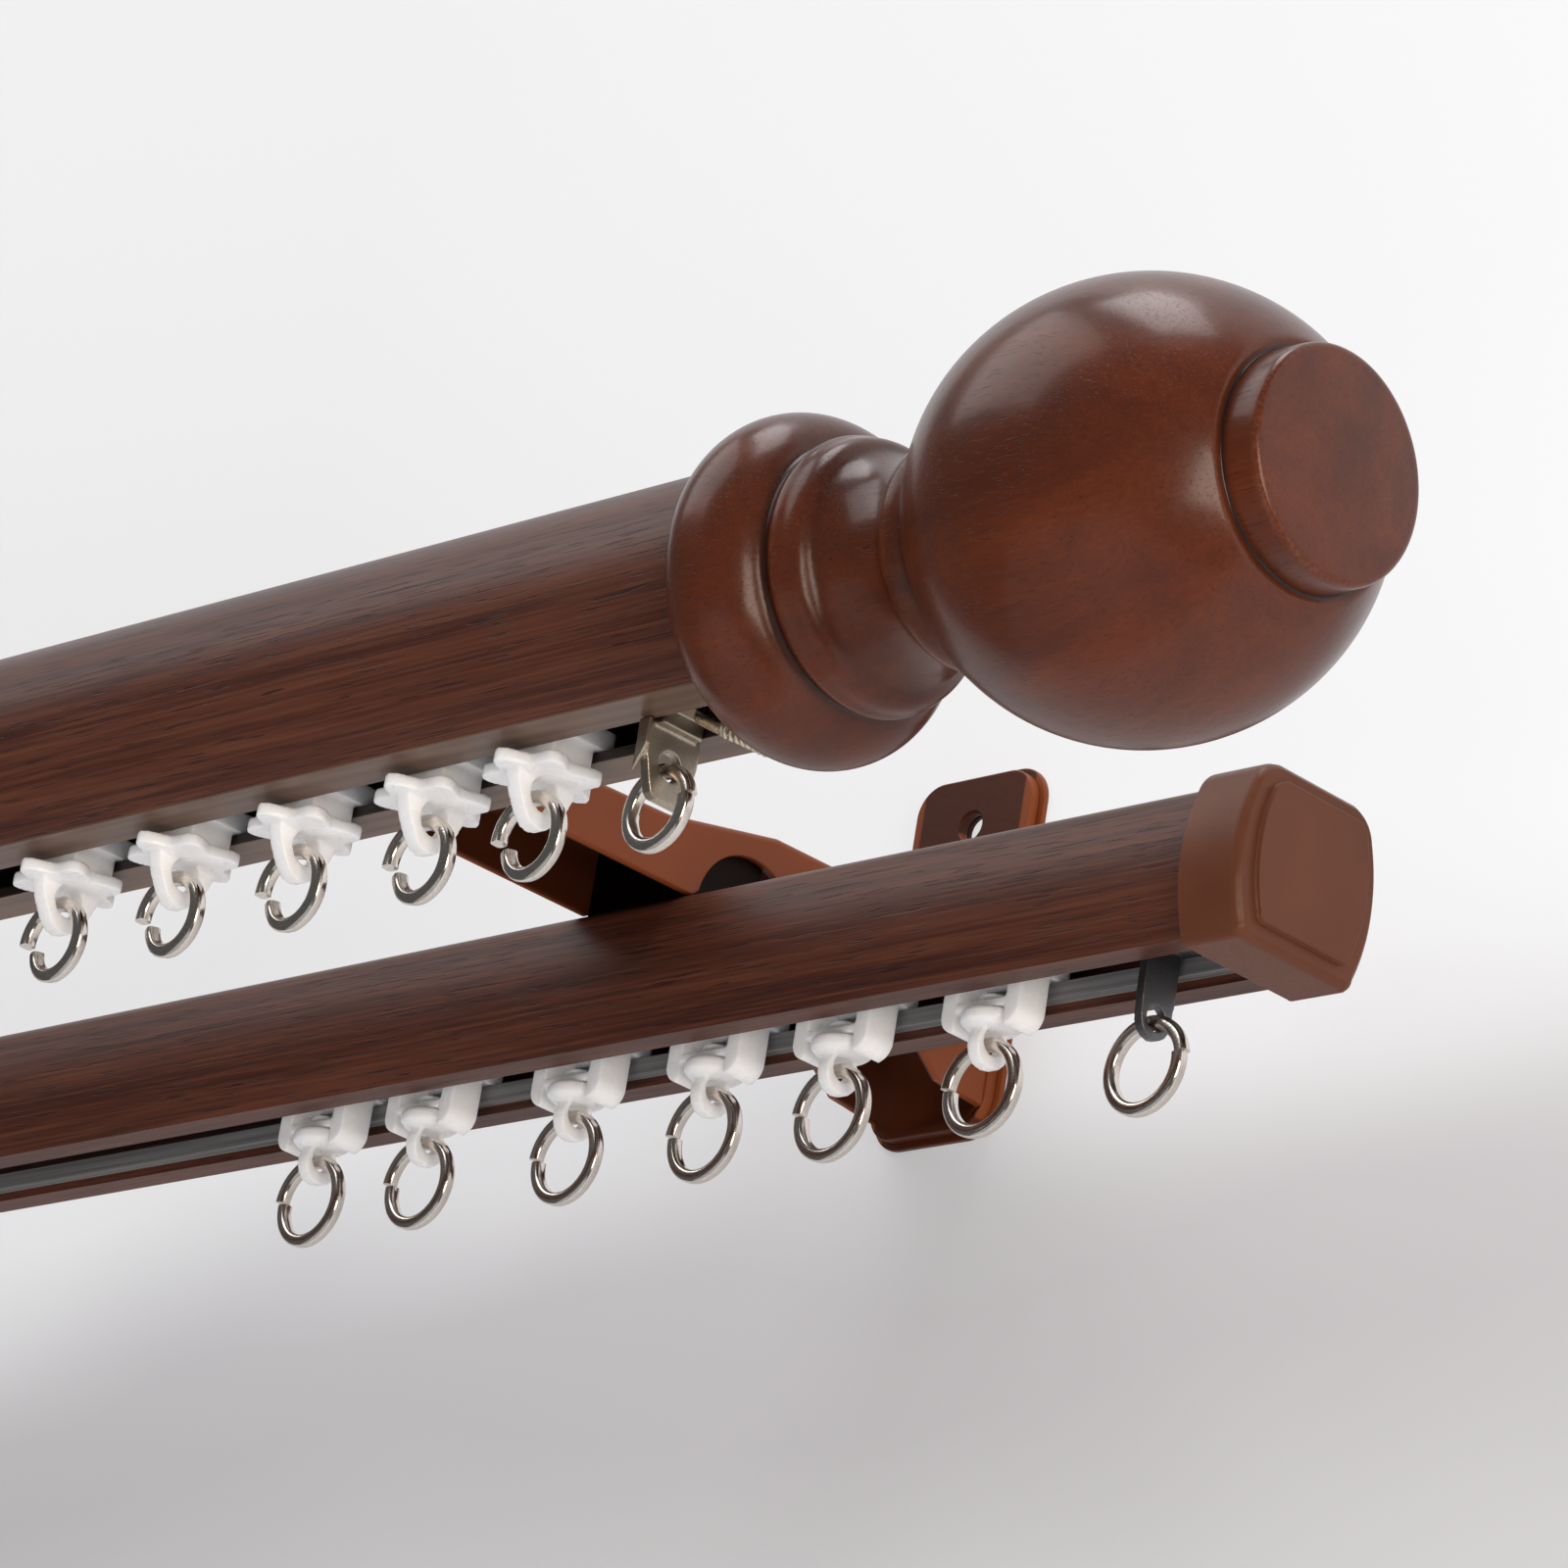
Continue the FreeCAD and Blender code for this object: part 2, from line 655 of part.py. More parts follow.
def make_front_glider(name, x):
    """Head in the channel, neck in the slot, six-lobed flange and eye below."""
    body = make_body(name)
    gap = d["run_gap"]
    lip_top = -(d["front_flat"] - d["front_wall"])
    neck = d["front_slot"] / 2 - 0.35
    top = lip_top + gap
    head = new_sketch(body, "XY_Plane", top)
    half, deep, cut = 6.0, 7.2, 1.5
    quarter = [(half - cut, -deep), (half, cut - deep), (half, deep - cut), (half - cut, deep)]
    add_outline(head, quarter + mirrored(quarter))
    pad(body, head, 3.0)
    flange_top = -(d["front_flat"] + 0.4)
    block = new_sketch(body, "XY_Plane", top)
    add_outline(block, [(-5.2, -neck), (5.2, -neck), (5.2, neck), (-5.2, neck)])
    pad(body, block, top - flange_top, back=True)
    star = new_sketch(body, "XY_Plane", flange_top)
    lobes, arcs = [], {}
    for step in range(6):
        for offset in (-15.0, 15.0):
            angle = math.radians(60 * step + offset)
            reach = d["front_star"] - 0.75
            lobes.append((reach * math.cos(angle), reach * math.sin(angle)))
        arcs[2 * step] = (size(1.95), -1)
        arcs[2 * step + 1] = (size(2.4), 1)
    add_outline(star, lobes, arcs)
    pad(body, star, 1.5, back=True)
    add_tongue(body, flange_top - 1.2, size(3.5), size(1.9), -19.5, 1.95, size(-23.2), 2.2)
    place(body, x, front_y, pole_z)
    return body


def make_rear_carriage(name, x):
    """Head on the slide strips, two legs and the plate that joins them."""
    body = make_body(name)
    lip_top = -(d["rear_low"] - d["rear_lip"]) + d["liner_high"]
    top = lip_top + d["run_gap"]
    head = new_sketch(body, "XY_Plane", top)
    half, deep, cut = 7.35, 7.6, 1.5
    quarter = [(half - cut, -deep), (half, cut - deep), (half, deep - cut), (half - cut, deep)]
    add_outline(head, quarter + mirrored(quarter))
    pad(body, head, 3.2)
    legs = new_sketch(body, "XZ_Plane")
    low, plate = -13.3, -11.9
    window, corner = 4.6, 1.6
    add_outline(legs, [
        (half, top), (half, low + corner), (half - corner, low), (corner - half, low),
        (-half, low + corner), (-half, top), (-window, top), (-window, plate),
        (window, plate), (window, top),
    ], {1: (corner, 1), 3: (corner, 1)})
    pad(body, legs, 5.2, symmetric=True)
    pivot = new_sketch(body, "XY_Plane", low)
    add_circle(pivot, (0, 0), 1.7)
    pocket(body, pivot, 1.4, back=True)
    place(body, x, rear_y, pole_z)
    return body


def make_swivel_eye(name, x):
    """Disc with a raised rim under the carriage, its pivot above and its eye below."""
    body = make_body(name)
    top, low = -13.5, -14.7
    disc = d["rear_disc"]
    profile = new_sketch(body, "XZ_Plane")
    add_outline(profile, [
        (0, -11.2), (2.4, -11.2), (2.4, -11.7), (1.4, -11.7), (1.4, top), (disc, top),
        (disc, low - 0.3), (disc - 0.8, low - 0.3), (disc - 1.0, low), (0, low),
    ])
    revolve(body, profile, "V_Axis")
    add_tongue(body, low + 0.4, size(3.1), size(2.5), -16.3, 1.75, size(-19.9), 2.2)
    place(body, x, rear_y, pole_z)
    return body


# End stops
def make_front_stop(name, side, turn):
    """Pressed steel stop: plates above and below the lips and a folded eye."""
    body = make_body(name)
    lip_top = -(d["front_flat"] - d["front_wall"])
    flat = -d["front_flat"]
    neck = d["front_slot"] / 2 - 0.3
    upper = new_sketch(body, "XY_Plane", lip_top)
    add_outline(upper, [(-5.0, -6.5), (5.0, -6.5), (5.0, 6.5), (-5.0, 6.5)])
    pad(body, upper, 1.2)
    middle = new_sketch(body, "XY_Plane", lip_top)
    add_outline(middle, [(-4.0, -neck), (4.0, -neck), (4.0, neck), (-4.0, neck)])
    pad(body, middle, lip_top - flat, back=True)
    lower = new_sketch(body, "XY_Plane", flat)
    add_outline(lower, [(-6.0, -6.2), (6.0, -6.2), (6.0, 6.2), (-6.0, 6.2)])
    pad(body, lower, 1.2, back=True)
    add_tongue(body, flat - 1.0, size(4.2), size(2.6), -19.4, 1.9, size(-23.4), 1.4)
    place(body, FRONT_STOP * side, front_y, pole_z, turn)
    return body


def make_rear_stop(name, side, turn):
    """Dark steel strip through the slot, with a round eye at its foot."""
    body = make_body(name)
    seat = -(d["rear_low"] - d["rear_lip"]) + d["liner_high"]
    upper = new_sketch(body, "XY_Plane", seat)
    add_outline(upper, [(-3.2, -7.0), (3.2, -7.0), (3.2, 7.0), (-3.2, 7.0)])
    pad(body, upper, 1.5)
    strip = new_sketch(body, "XZ_Plane")
    add_outline(strip, [(-3.0, seat), (-3.0, -13.6), (-1.2, -15.0), (1.2, -15.0), (3.0, -13.6), (3.0, seat)])
    pad(body, strip, 1.4, symmetric=True)
    add_tongue(body, size(-14.2), size(2.6), size(2.8), -17.0, 1.9, size(-20.4), 1.4)
    place(body, REAR_STOP * side, rear_y, pole_z, turn)
    return body


def build_all():
    parts = [make_front_pole(), make_rear_pole()]
    parts += [make_liner("slot_liner_front", -1), make_liner("slot_liner_rear", 1)]
    for word, side, turn in SIDES:
        parts.append(make_finial(f"finial_{word}", side, turn))
        parts.append(make_end_cap(f"end_cap_{word}", side, turn))
        parts.append(make_arm(f"bracket_arm_{word}", side))
        parts.append(make_wall_plate(f"wall_plate_{word}", side))
        parts.append(make_hanger(f"rear_hanger_{word}", side))
        parts.append(make_front_stop(f"front_stop_{word}", side, turn))
        parts.append(make_ring(f"front_stop_ring_{word}", FRONT_STOP * side, front_y,
                               pole_z + FRONT_WIRE_Z - d["front_ring"], d["front_ring"]))
        parts.append(make_rear_stop(f"rear_stop_{word}", side, turn))
        parts.append(make_ring(f"rear_stop_ring_{word}", REAR_STOP * side, rear_y,
                               pole_z + STOP_WIRE_Z - d["rear_ring"], d["rear_ring"]))
    parts += [make_finial_screws(), make_pole_screws(), make_lock_screws()]
    for number, x in enumerate(FRONT_GLIDERS, start=1):
        parts.append(make_front_glider(f"front_glider_{number}", x))
        parts.append(make_ring(f"front_ring_{number}", x, front_y,
                               pole_z + FRONT_WIRE_Z - d["front_ring"], d["front_ring"]))
    for number, x in enumerate(REAR_GLIDERS, start=1):
        parts.append(make_rear_carriage(f"rear_carriage_{number}", x))
        parts.append(make_swivel_eye(f"rear_eye_{number}", x))
        parts.append(make_ring(f"rear_ring_{number}", x, rear_y,
                               pole_z + REAR_WIRE_Z - d["rear_ring"], d["rear_ring"]))
    doc.recompute()
    return parts


def check_and_write(parts):
    for item in doc.Objects:
        if "Invalid" in item.State or "Error" in item.State:
            raise RuntimeError(f"{item.Name} failed: {item.State}")
    os.makedirs("parts", exist_ok=True)
    for part in parts:
        shape = part.Shape
        if shape.isNull() or not shape.isValid():
            raise RuntimeError(f"{part.Label} has no valid shape")
        shape.exportStep(f"parts/{part.Label}.step")
        print(f"{part.Label}: {len(shape.Solids)} solid, {shape.Volume:.1f} mm3")
    print(len(parts), "sub-parts")


check_and_write(build_all())
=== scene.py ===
import json
import math

import bmesh
import bpy
from mathutils import Matrix, Vector
from mathutils.geometry import tessellate_polygon

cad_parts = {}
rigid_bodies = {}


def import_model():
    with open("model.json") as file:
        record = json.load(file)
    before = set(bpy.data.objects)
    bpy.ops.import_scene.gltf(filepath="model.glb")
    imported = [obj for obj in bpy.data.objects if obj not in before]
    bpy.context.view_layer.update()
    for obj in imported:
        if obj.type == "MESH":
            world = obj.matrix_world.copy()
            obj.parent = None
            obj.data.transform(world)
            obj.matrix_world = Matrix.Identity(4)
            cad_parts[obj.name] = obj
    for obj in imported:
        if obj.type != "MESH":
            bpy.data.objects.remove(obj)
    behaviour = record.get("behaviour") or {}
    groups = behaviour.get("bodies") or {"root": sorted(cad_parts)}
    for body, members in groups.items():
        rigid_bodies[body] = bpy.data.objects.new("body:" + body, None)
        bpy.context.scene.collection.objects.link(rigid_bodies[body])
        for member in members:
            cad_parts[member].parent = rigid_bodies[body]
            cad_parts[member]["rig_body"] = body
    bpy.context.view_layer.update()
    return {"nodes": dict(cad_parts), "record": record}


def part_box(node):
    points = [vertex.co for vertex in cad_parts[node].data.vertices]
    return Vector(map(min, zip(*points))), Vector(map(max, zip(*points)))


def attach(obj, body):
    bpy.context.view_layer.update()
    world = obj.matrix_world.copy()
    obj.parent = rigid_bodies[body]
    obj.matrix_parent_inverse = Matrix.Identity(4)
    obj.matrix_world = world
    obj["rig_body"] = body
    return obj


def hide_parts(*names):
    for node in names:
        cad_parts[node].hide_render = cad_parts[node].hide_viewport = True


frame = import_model()

bl_info = {
    "name": "Double curtain pole",
    "version": (1, 0, 0),
    "blender": (4, 5, 0),
    "location": "3D Viewport > Sidebar > Curtain pole",
    "description": "Finishes, turned finials, wire rings, gliders and a studio for a double curtain pole",
    "category": "Object",
}

MM = 0.001
SLOTS = {entry["node"]: entry["material_slot"] for entry in frame["record"]["subparts"]}


def tone(red, green, blue):
    """A colour as it looks on screen, 0 to 255, in the shader's linear units."""
    def linear(value):
        share = value / 255
        return share / 12.92 if share <= 0.04045 else ((share + 0.055) / 1.055) ** 2.4
    return (linear(red), linear(green), linear(blue), 1.0)


# Places read from the frame
def pole_axis(node):
    """A point of a pole's axis: its section is as high above the axis as it is wide to each side."""
    low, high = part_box(node)
    return Vector((0, (low.y + high.y) / 2, high.z - (high.y - low.y) / 2))


def middle(node):
    low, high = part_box(node)
    return (low + high) / 2


FRONT_AXIS = pole_axis("front_pole")
REAR_AXIS = Vector((0, middle("rear_pole").y, middle("rear_pole").z))


# Sizes and colours that a user would change
def colour_knob(name, description, default):
    return bpy.props.FloatVectorProperty(
        name=name, description=description, subtype="COLOR", size=4, min=0, max=1, default=default)


def power_knob(name, description, default):
    return bpy.props.FloatProperty(
        name=name, description=description, unit="POWER", min=0, default=default)


class PoleLooks(bpy.types.PropertyGroup):
    print_brown: colour_knob("Print brown", "Ground colour of the wood-grain film", tone(80, 39, 27))
    print_dark: colour_knob("Print pores", "Colour of the printed pores and dark streaks", tone(42, 22, 17))
    print_light: colour_knob("Print light", "Colour of the light streaks of the film", tone(106, 62, 43))
    lip: colour_knob("Lip", "Plain film on the front pole's flat underside", tone(108, 82, 66))
    # Painted shade: this dark colour inside the front pole's channel stands in for the shade there
    inside: colour_knob("Inside", "Painted shade inside the front pole's channel", tone(44, 34, 30))


class FinialLooks(bpy.types.PropertyGroup):
    stain: colour_knob("Stain", "Stained wood under the lacquer", tone(100, 46, 23))
    stain_deep: colour_knob("Deep stain", "Darker figure and the stain gathered in grooves", tone(50, 22, 14))
    wear: colour_knob("Wear", "Rubbed edges", tone(146, 92, 66))
    lacquer_roughness: bpy.props.FloatProperty(
        name="Lacquer roughness", description="Roughness of the lacquer film",
        subtype="FACTOR", min=0, max=1, default=0.3)
    turns: bpy.props.IntProperty(
        name="Segments", description="Segments round the turned shape", min=24, max=256, default=144)


class HardwareLooks(bpy.types.PropertyGroup):
    paint: colour_knob("Bracket paint", "Satin brown paint", tone(136, 70, 36))
    cap: colour_knob("Cap", "Moulded end caps", tone(102, 60, 41))
    nickel: colour_knob("Nickel", "Nickel plate on the rings", (0.78, 0.72, 0.66, 1))
    brass: colour_knob("Screw plate", "Pale plate on the finial screws", (0.72, 0.62, 0.48, 1))
    milk: colour_knob("Glider plastic", "Milky moulded plastic", (0.98, 0.965, 0.96, 1))
    ring_gap: bpy.props.FloatProperty(
        name="Ring gap", description="Opening between the ends of the front gliders' rings",
        unit="LENGTH", min=0, default=0.6 * MM)
    ring_offset: bpy.props.FloatProperty(
        name="Ring offset", unit="LENGTH", min=0, default=1.8 * MM,
        description="How far the ends of the front gliders' rings stand beside each other")


class StageLooks(bpy.types.PropertyGroup):
    wall: colour_knob("Wall", "Pale wall and floor", (0.86, 0.86, 0.87, 1))
    ambient: bpy.props.FloatProperty(
        name="Ambient", description="Brightness of the room round the object", min=0, default=0.42)
    dark_room: bpy.props.FloatProperty(
        name="Dark room", description="Brightness of the room in reflections", min=0, default=0.10)
    key_power: power_knob("Key", "Power of the large soft light, upper left", 12)
    top_power: power_knob("Top", "Power of the soft light above", 8)
    side_power: power_knob("Side", "Power of the warm light on the right", 8.5)
    fill_power: power_knob("Fill", "Power of the soft light from the pale floor", 14)


class Nodes:
    """A node tree that is being filled; an input is given as a value or as the socket it is linked to."""

    def add(self, kind, inputs=None, **settings):
        node = self.tree.nodes.new(kind)
        for name, value in settings.items():
            setattr(node, name, value)
        for name, value in (inputs or {}).items():
            if isinstance(value, bpy.types.NodeSocket):
                self.tree.links.new(value, node.inputs[name])
            else:
                node.inputs[name].default_value = value
        return node


# Materials
class Finish(Nodes):
    """A material being built from nodes, with its patterns on the object's own coordinates."""

    def __init__(self, name, sockets):
        self.material = bpy.data.materials.new(name)
        self.material.use_nodes = True
        self.tree = self.material.node_tree
        self.shader = self.tree.nodes["Principled BSDF"]
        self.place = self.add("ShaderNodeTexCoord").outputs["Object"]
        for socket, value in sockets.items():
            self.shader.inputs[socket].default_value = value

    def stretched(self, along_x, across, centre=(0, 0, 0)):
        """The place in the object, so that a unit is along_x by across millimetres."""
        moved = self.add("ShaderNodeVectorMath", {0: self.place, 1: tuple(centre)}, operation="SUBTRACT")
        unit = (1 / (along_x * MM), 1 / (across * MM), 1 / (across * MM))
        return self.add("ShaderNodeVectorMath", {0: moved.outputs[0], 1: unit},
                        operation="MULTIPLY").outputs[0]

    def noise(self, vector, scale=1.0, detail=2.0, roughness=0.5, distortion=0.0):
        return self.add("ShaderNodeTexNoise", {
            "Vector": vector, "Scale": scale, "Detail": detail, "Roughness": roughness,
            "Distortion": distortion}).outputs["Fac"]

    def band(self, value, low, high, start=0.0, end=1.0):
        """A value brought from the range low to high into start to end."""
        return self.add("ShaderNodeMapRange", {
            "Value": value, "From Min": low, "From Max": high, "To Min": start, "To Max": end}).outputs[0]

    def sum(self, first, second, operation="ADD"):
        return self.add("ShaderNodeMath", {0: first, 1: second}, operation=operation).outputs[0]

    def size_of(self, value):
        return self.add("ShaderNodeMath", {0: value}, operation="ABSOLUTE").outputs[0]

    def mix(self, share, first, second):
        node = self.add("ShaderNodeMix", data_type="RGBA")
        for socket, value in ((0, share), (6, first), (7, second)):
            if isinstance(value, bpy.types.NodeSocket):
                self.tree.links.new(value, node.inputs[socket])
            else:
                node.inputs[socket].default_value = value
        return node.outputs[2]

    def wire(self, value, socket):
        self.tree.links.new(value, self.shader.inputs[socket])

    def bump(self, height, depth):
        """Relief of a depth in millimetres from a height of 0 to 1."""
        node = self.add("ShaderNodeBump", {"Height": height, "Distance": depth * MM, "Strength": 1.0})
        self.wire(node.outputs[0], "Normal")


def wood_grain_film(finish, looks, centre):
    """Printed walnut: long soft streaks with short dark pores along the pole."""
    streaks = finish.noise(finish.stretched(90, 2.6, centre), detail=3, roughness=0.55)
    fibres = finish.noise(finish.stretched(26, 0.42, centre), detail=2)
    pores = finish.noise(finish.stretched(8.5, 0.30, centre), detail=1)
    ground = finish.mix(finish.band(streaks, 0.36, 0.66), looks.print_dark, looks.print_light)
    ground = finish.mix(0.62, ground, looks.print_brown)
    ground = finish.mix(finish.band(fibres, 0.5, 0.7, 0, 0.6), ground, looks.print_light)
    ground = finish.mix(finish.band(fibres, 0.46, 0.28, 0, 0.5), ground, looks.print_dark)
    dashes = finish.band(pores, 0.61, 0.68)
    ground = finish.mix(finish.sum(dashes, 0.75, "MULTIPLY"), ground, looks.print_dark)
    return ground, dashes


def front_pole_finish(looks):
    """Wood-grain film on the round, a plain satin film on the flat lips, and painted shade inside: a dark
    colour where the channel is in shade.
    """
    finish = Finish("Front pole film", {"Roughness": 0.4, "IOR": 1.45, "Specular IOR Level": 0.38})
    wood, dashes = wood_grain_film(finish, looks, FRONT_AXIS)
    flattened = finish.stretched(1e9, 1, FRONT_AXIS)
    section = finish.add("ShaderNodeVectorMath", {0: flattened}, operation="LENGTH")
    height = finish.add("ShaderNodeSeparateXYZ", {0: finish.stretched(1, 1, FRONT_AXIS)}).outputs[2]
    lip = finish.band(height, -14.35, -14.5)
    # Painted shade: the channel's inner faces take the dark inside colour
    inner = finish.band(section.outputs["Value"], 16.6, 16.2)
    smear = finish.noise(finish.stretched(60, 1.2, FRONT_AXIS), detail=2)
    lip_tone = finish.mix(finish.band(smear, 0.3, 0.7), looks.lip, tone(84, 63, 52))
    colour = finish.mix(inner, wood, looks.inside)
    colour = finish.mix(lip, colour, lip_tone)
    finish.wire(colour, "Base Color")
    finish.wire(finish.band(lip, 0, 1, 0.40, 0.33), "Roughness")
    relief = finish.sum(dashes, finish.band(lip, 0, 1, -1, 0), "MULTIPLY")
    finish.bump(relief, 0.03)
    return finish.material


def rear_pole_finish(looks):
    """Wood-grain film all round, bare metal inside."""
    finish = Finish("Rear pole film", {"Roughness": 0.42, "IOR": 1.45, "Specular IOR Level": 0.38})
    wood, dashes = wood_grain_film(finish, looks, REAR_AXIS)
    axes = finish.add("ShaderNodeSeparateXYZ", {0: finish.stretched(1, 1, REAR_AXIS)})
    half_width, half_height = 8.4, 9.7
    wide = finish.sum(finish.size_of(axes.outputs[1]), half_width, "DIVIDE")
    tall = finish.sum(finish.size_of(axes.outputs[2]), half_height, "DIVIDE")
    inner = finish.band(finish.sum(wide, tall, "MAXIMUM"), 1.0, 0.98)
    finish.wire(finish.mix(inner, wood, tone(170, 168, 164)), "Base Color")
    finish.bump(finish.sum(dashes, -1.0, "MULTIPLY"), 0.03)
    return finish.material


def finial_finish(looks):
    """Stained and lacquered wood: figure along the axis, dark grooves, rubbed edges."""
    finish = Finish("Lacquered wood", {
        "Roughness": looks.lacquer_roughness, "IOR": 1.5, "Specular IOR Level": 0.22, "Coat Weight": 0.22,
        "Coat Roughness": 0.16})
    figure = finish.noise(finish.stretched(60, 11, FRONT_AXIS), detail=3, roughness=0.6, distortion=0.6)
    fibres = finish.noise(finish.stretched(9, 0.5, FRONT_AXIS), detail=3, roughness=0.6)
    pores = finish.noise(finish.stretched(3.4, 0.22, FRONT_AXIS), detail=1)
    colour = finish.mix(finish.band(figure, 0.34, 0.7), looks.stain_deep, looks.stain)
    colour = finish.mix(0.45, colour, looks.stain)
    colour = finish.mix(finish.band(fibres, 0.38, 0.72, 0.28, 0), colour, looks.stain_deep)
    dashes = finish.band(pores, 0.64, 0.7)
    colour = finish.mix(finish.sum(dashes, 0.45, "MULTIPLY"), colour, looks.stain_deep)
    relief = finish.add("ShaderNodeAttribute", attribute_name="relief").outputs["Fac"]
    groove = finish.band(relief, -0.02, -0.24)
    colour = finish.mix(finish.sum(groove, 0.95, "MULTIPLY"), colour, tone(24, 10, 7))
    rough_edge = finish.noise(finish.stretched(0.7, 0.5, FRONT_AXIS), detail=3, roughness=0.7)
    ridge = finish.sum(finish.band(relief, 0.10, 0.30), finish.band(rough_edge, 0.48, 0.6), "MULTIPLY")
    colour = finish.mix(finish.sum(ridge, 0.45, "MULTIPLY"), colour, looks.wear)
    finish.wire(colour, "Base Color")
    ripples = finish.noise(finish.stretched(2.5, 2.5, FRONT_AXIS), detail=2)
    finish.bump(finish.sum(finish.sum(dashes, -0.6, "MULTIPLY"), ripples), 0.05)
    return finish.material


ARM_INSIDE = 10.5  # mm from the arm's middle to the inner face of its sides


def paint_finish(looks):
    """Satin paint with a fine orange peel, and painted shade inside the arm's fold."""
    finish = Finish("Satin brown paint", {"Roughness": 0.38, "IOR": 1.5, "Specular IOR Level": 0.2})
    peel = finish.noise(finish.stretched(1.3, 1.3), detail=2)
    cloud = finish.noise(finish.stretched(40, 40), detail=2)
    paint_tone_and_fold_shade = finish.mix(finish.band(cloud, 0.35, 0.65), looks.paint, tone(124, 62, 32))
    # Painted shade inside the arm's fold: darker between its sides and not on its top
    along = finish.add("ShaderNodeSeparateXYZ", {0: finish.stretched(1, 1)}).outputs[0]
    arm_place = middle("bracket_arm_right").x / MM
    from_arm = finish.size_of(finish.sum(finish.size_of(along), arm_place, "SUBTRACT"))
    normal = finish.add("ShaderNodeNewGeometry").outputs["True Normal"]
    upwards = finish.add("ShaderNodeSeparateXYZ", {0: normal}).outputs[2]
    between = finish.band(from_arm, ARM_INSIDE + 0.2, ARM_INSIDE - 0.2)
    inside = finish.sum(between, finish.band(upwards, 0.4, 0.2), "MULTIPLY")
    # Painted shade: a near-black brown over the paint inside the fold
    paint_tone_and_fold_shade = finish.mix(finish.sum(inside, 0.8, "MULTIPLY"), paint_tone_and_fold_shade, tone(46, 17, 9))
    finish.wire(paint_tone_and_fold_shade, "Base Color")
    finish.wire(finish.band(peel, 0.3, 0.7, 0.34, 0.44), "Roughness")
    finish.bump(peel, 0.03)
    return finish.material


def cap_finish(looks):
    """Moulded plastic with a fine spark-eroded grain."""
    finish = Finish("Moulded brown plastic", {"Roughness": 0.36, "IOR": 1.48, "Specular IOR Level": 0.2})
    spark = finish.noise(finish.stretched(0.5, 0.5), detail=2)
    cloud = finish.noise(finish.stretched(14, 14), detail=2)
    finish.wire(finish.mix(finish.band(cloud, 0.3, 0.7), looks.cap, tone(94, 54, 37)), "Base Color")
    finish.wire(finish.band(spark, 0.3, 0.7, 0.32, 0.42), "Roughness")
    finish.bump(spark, 0.015)
    return finish.material


def metal_finish(name, colour, roughness, drag):
    """Plated metal with drawing marks; drag is the length of a mark in millimetres."""
    finish = Finish(name, {"Base Color": colour, "Metallic": 1.0, "Roughness": roughness})
    marks = finish.noise(finish.stretched(drag, 0.18), detail=3, roughness=0.6)
    dull = tuple(channel * 0.72 for channel in tuple(colour)[:3]) + (1,)
    finish.wire(finish.mix(finish.band(marks, 0.4, 0.75), colour, dull), "Base Color")
    finish.wire(finish.band(marks, 0.3, 0.75, roughness * 0.8, roughness * 1.7), "Roughness")
    finish.bump(marks, 0.008)
    return finish.material


def milk_finish(looks):
    """Plastic that light goes some way into, with faint flow marks."""
    finish = Finish("Milky plastic", {
        "Roughness": 0.27, "IOR": 1.46, "Subsurface Weight": 0.8, "Subsurface Radius": (1.0, 0.95, 0.9),
        "Subsurface Scale": 2.4 * MM})
    flow = finish.noise(finish.stretched(5, 3), detail=2, distortion=0.8)
    finish.wire(finish.mix(finish.band(flow, 0.35, 0.7), looks.milk, (0.93, 0.91, 0.91, 1)), "Base Color")
    finish.wire(finish.band(flow, 0.3, 0.7, 0.22, 0.34), "Roughness")
    finish.bump(flow, 0.02)
    return finish.material


def liner_finish():
    """Drawn nylon strip with long marks."""
    finish = Finish("Grey slide strip", {"Roughness": 0.45, "IOR": 1.46})
    marks = finish.noise(finish.stretched(50, 0.6), detail=2)
    greys = (tone(128, 126, 126), tone(96, 94, 94))
    finish.wire(finish.mix(finish.band(marks, 0.35, 0.7), *greys), "Base Color")
    finish.bump(marks, 0.01)
    return finish.material


# Making pieces
def show(name, mesh):
    piece = bpy.data.objects.new(name, mesh)
    bpy.context.scene.collection.objects.link(piece)
    return piece


def applied(piece):
    """The piece as a plain mesh, its modifiers applied and gone."""
    result = bpy.data.meshes.new_from_object(piece.evaluated_get(bpy.context.evaluated_depsgraph_get()))
    piece.modifiers.clear()
    piece.data = result
    return piece


def settle(piece, material, *nodes):
    """Give a finished piece its material and let it stand for its solids on their body."""
    piece.data.materials.clear()
    piece.data.materials.append(material)
    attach(piece, frame["nodes"][nodes[0]]["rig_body"])
    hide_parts(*nodes)


def repaint(node, material):
    """A solid that stays as it is, with a better material."""
    solid = frame["nodes"][node]
    solid.data.materials.clear()
    solid.data.materials.append(material)


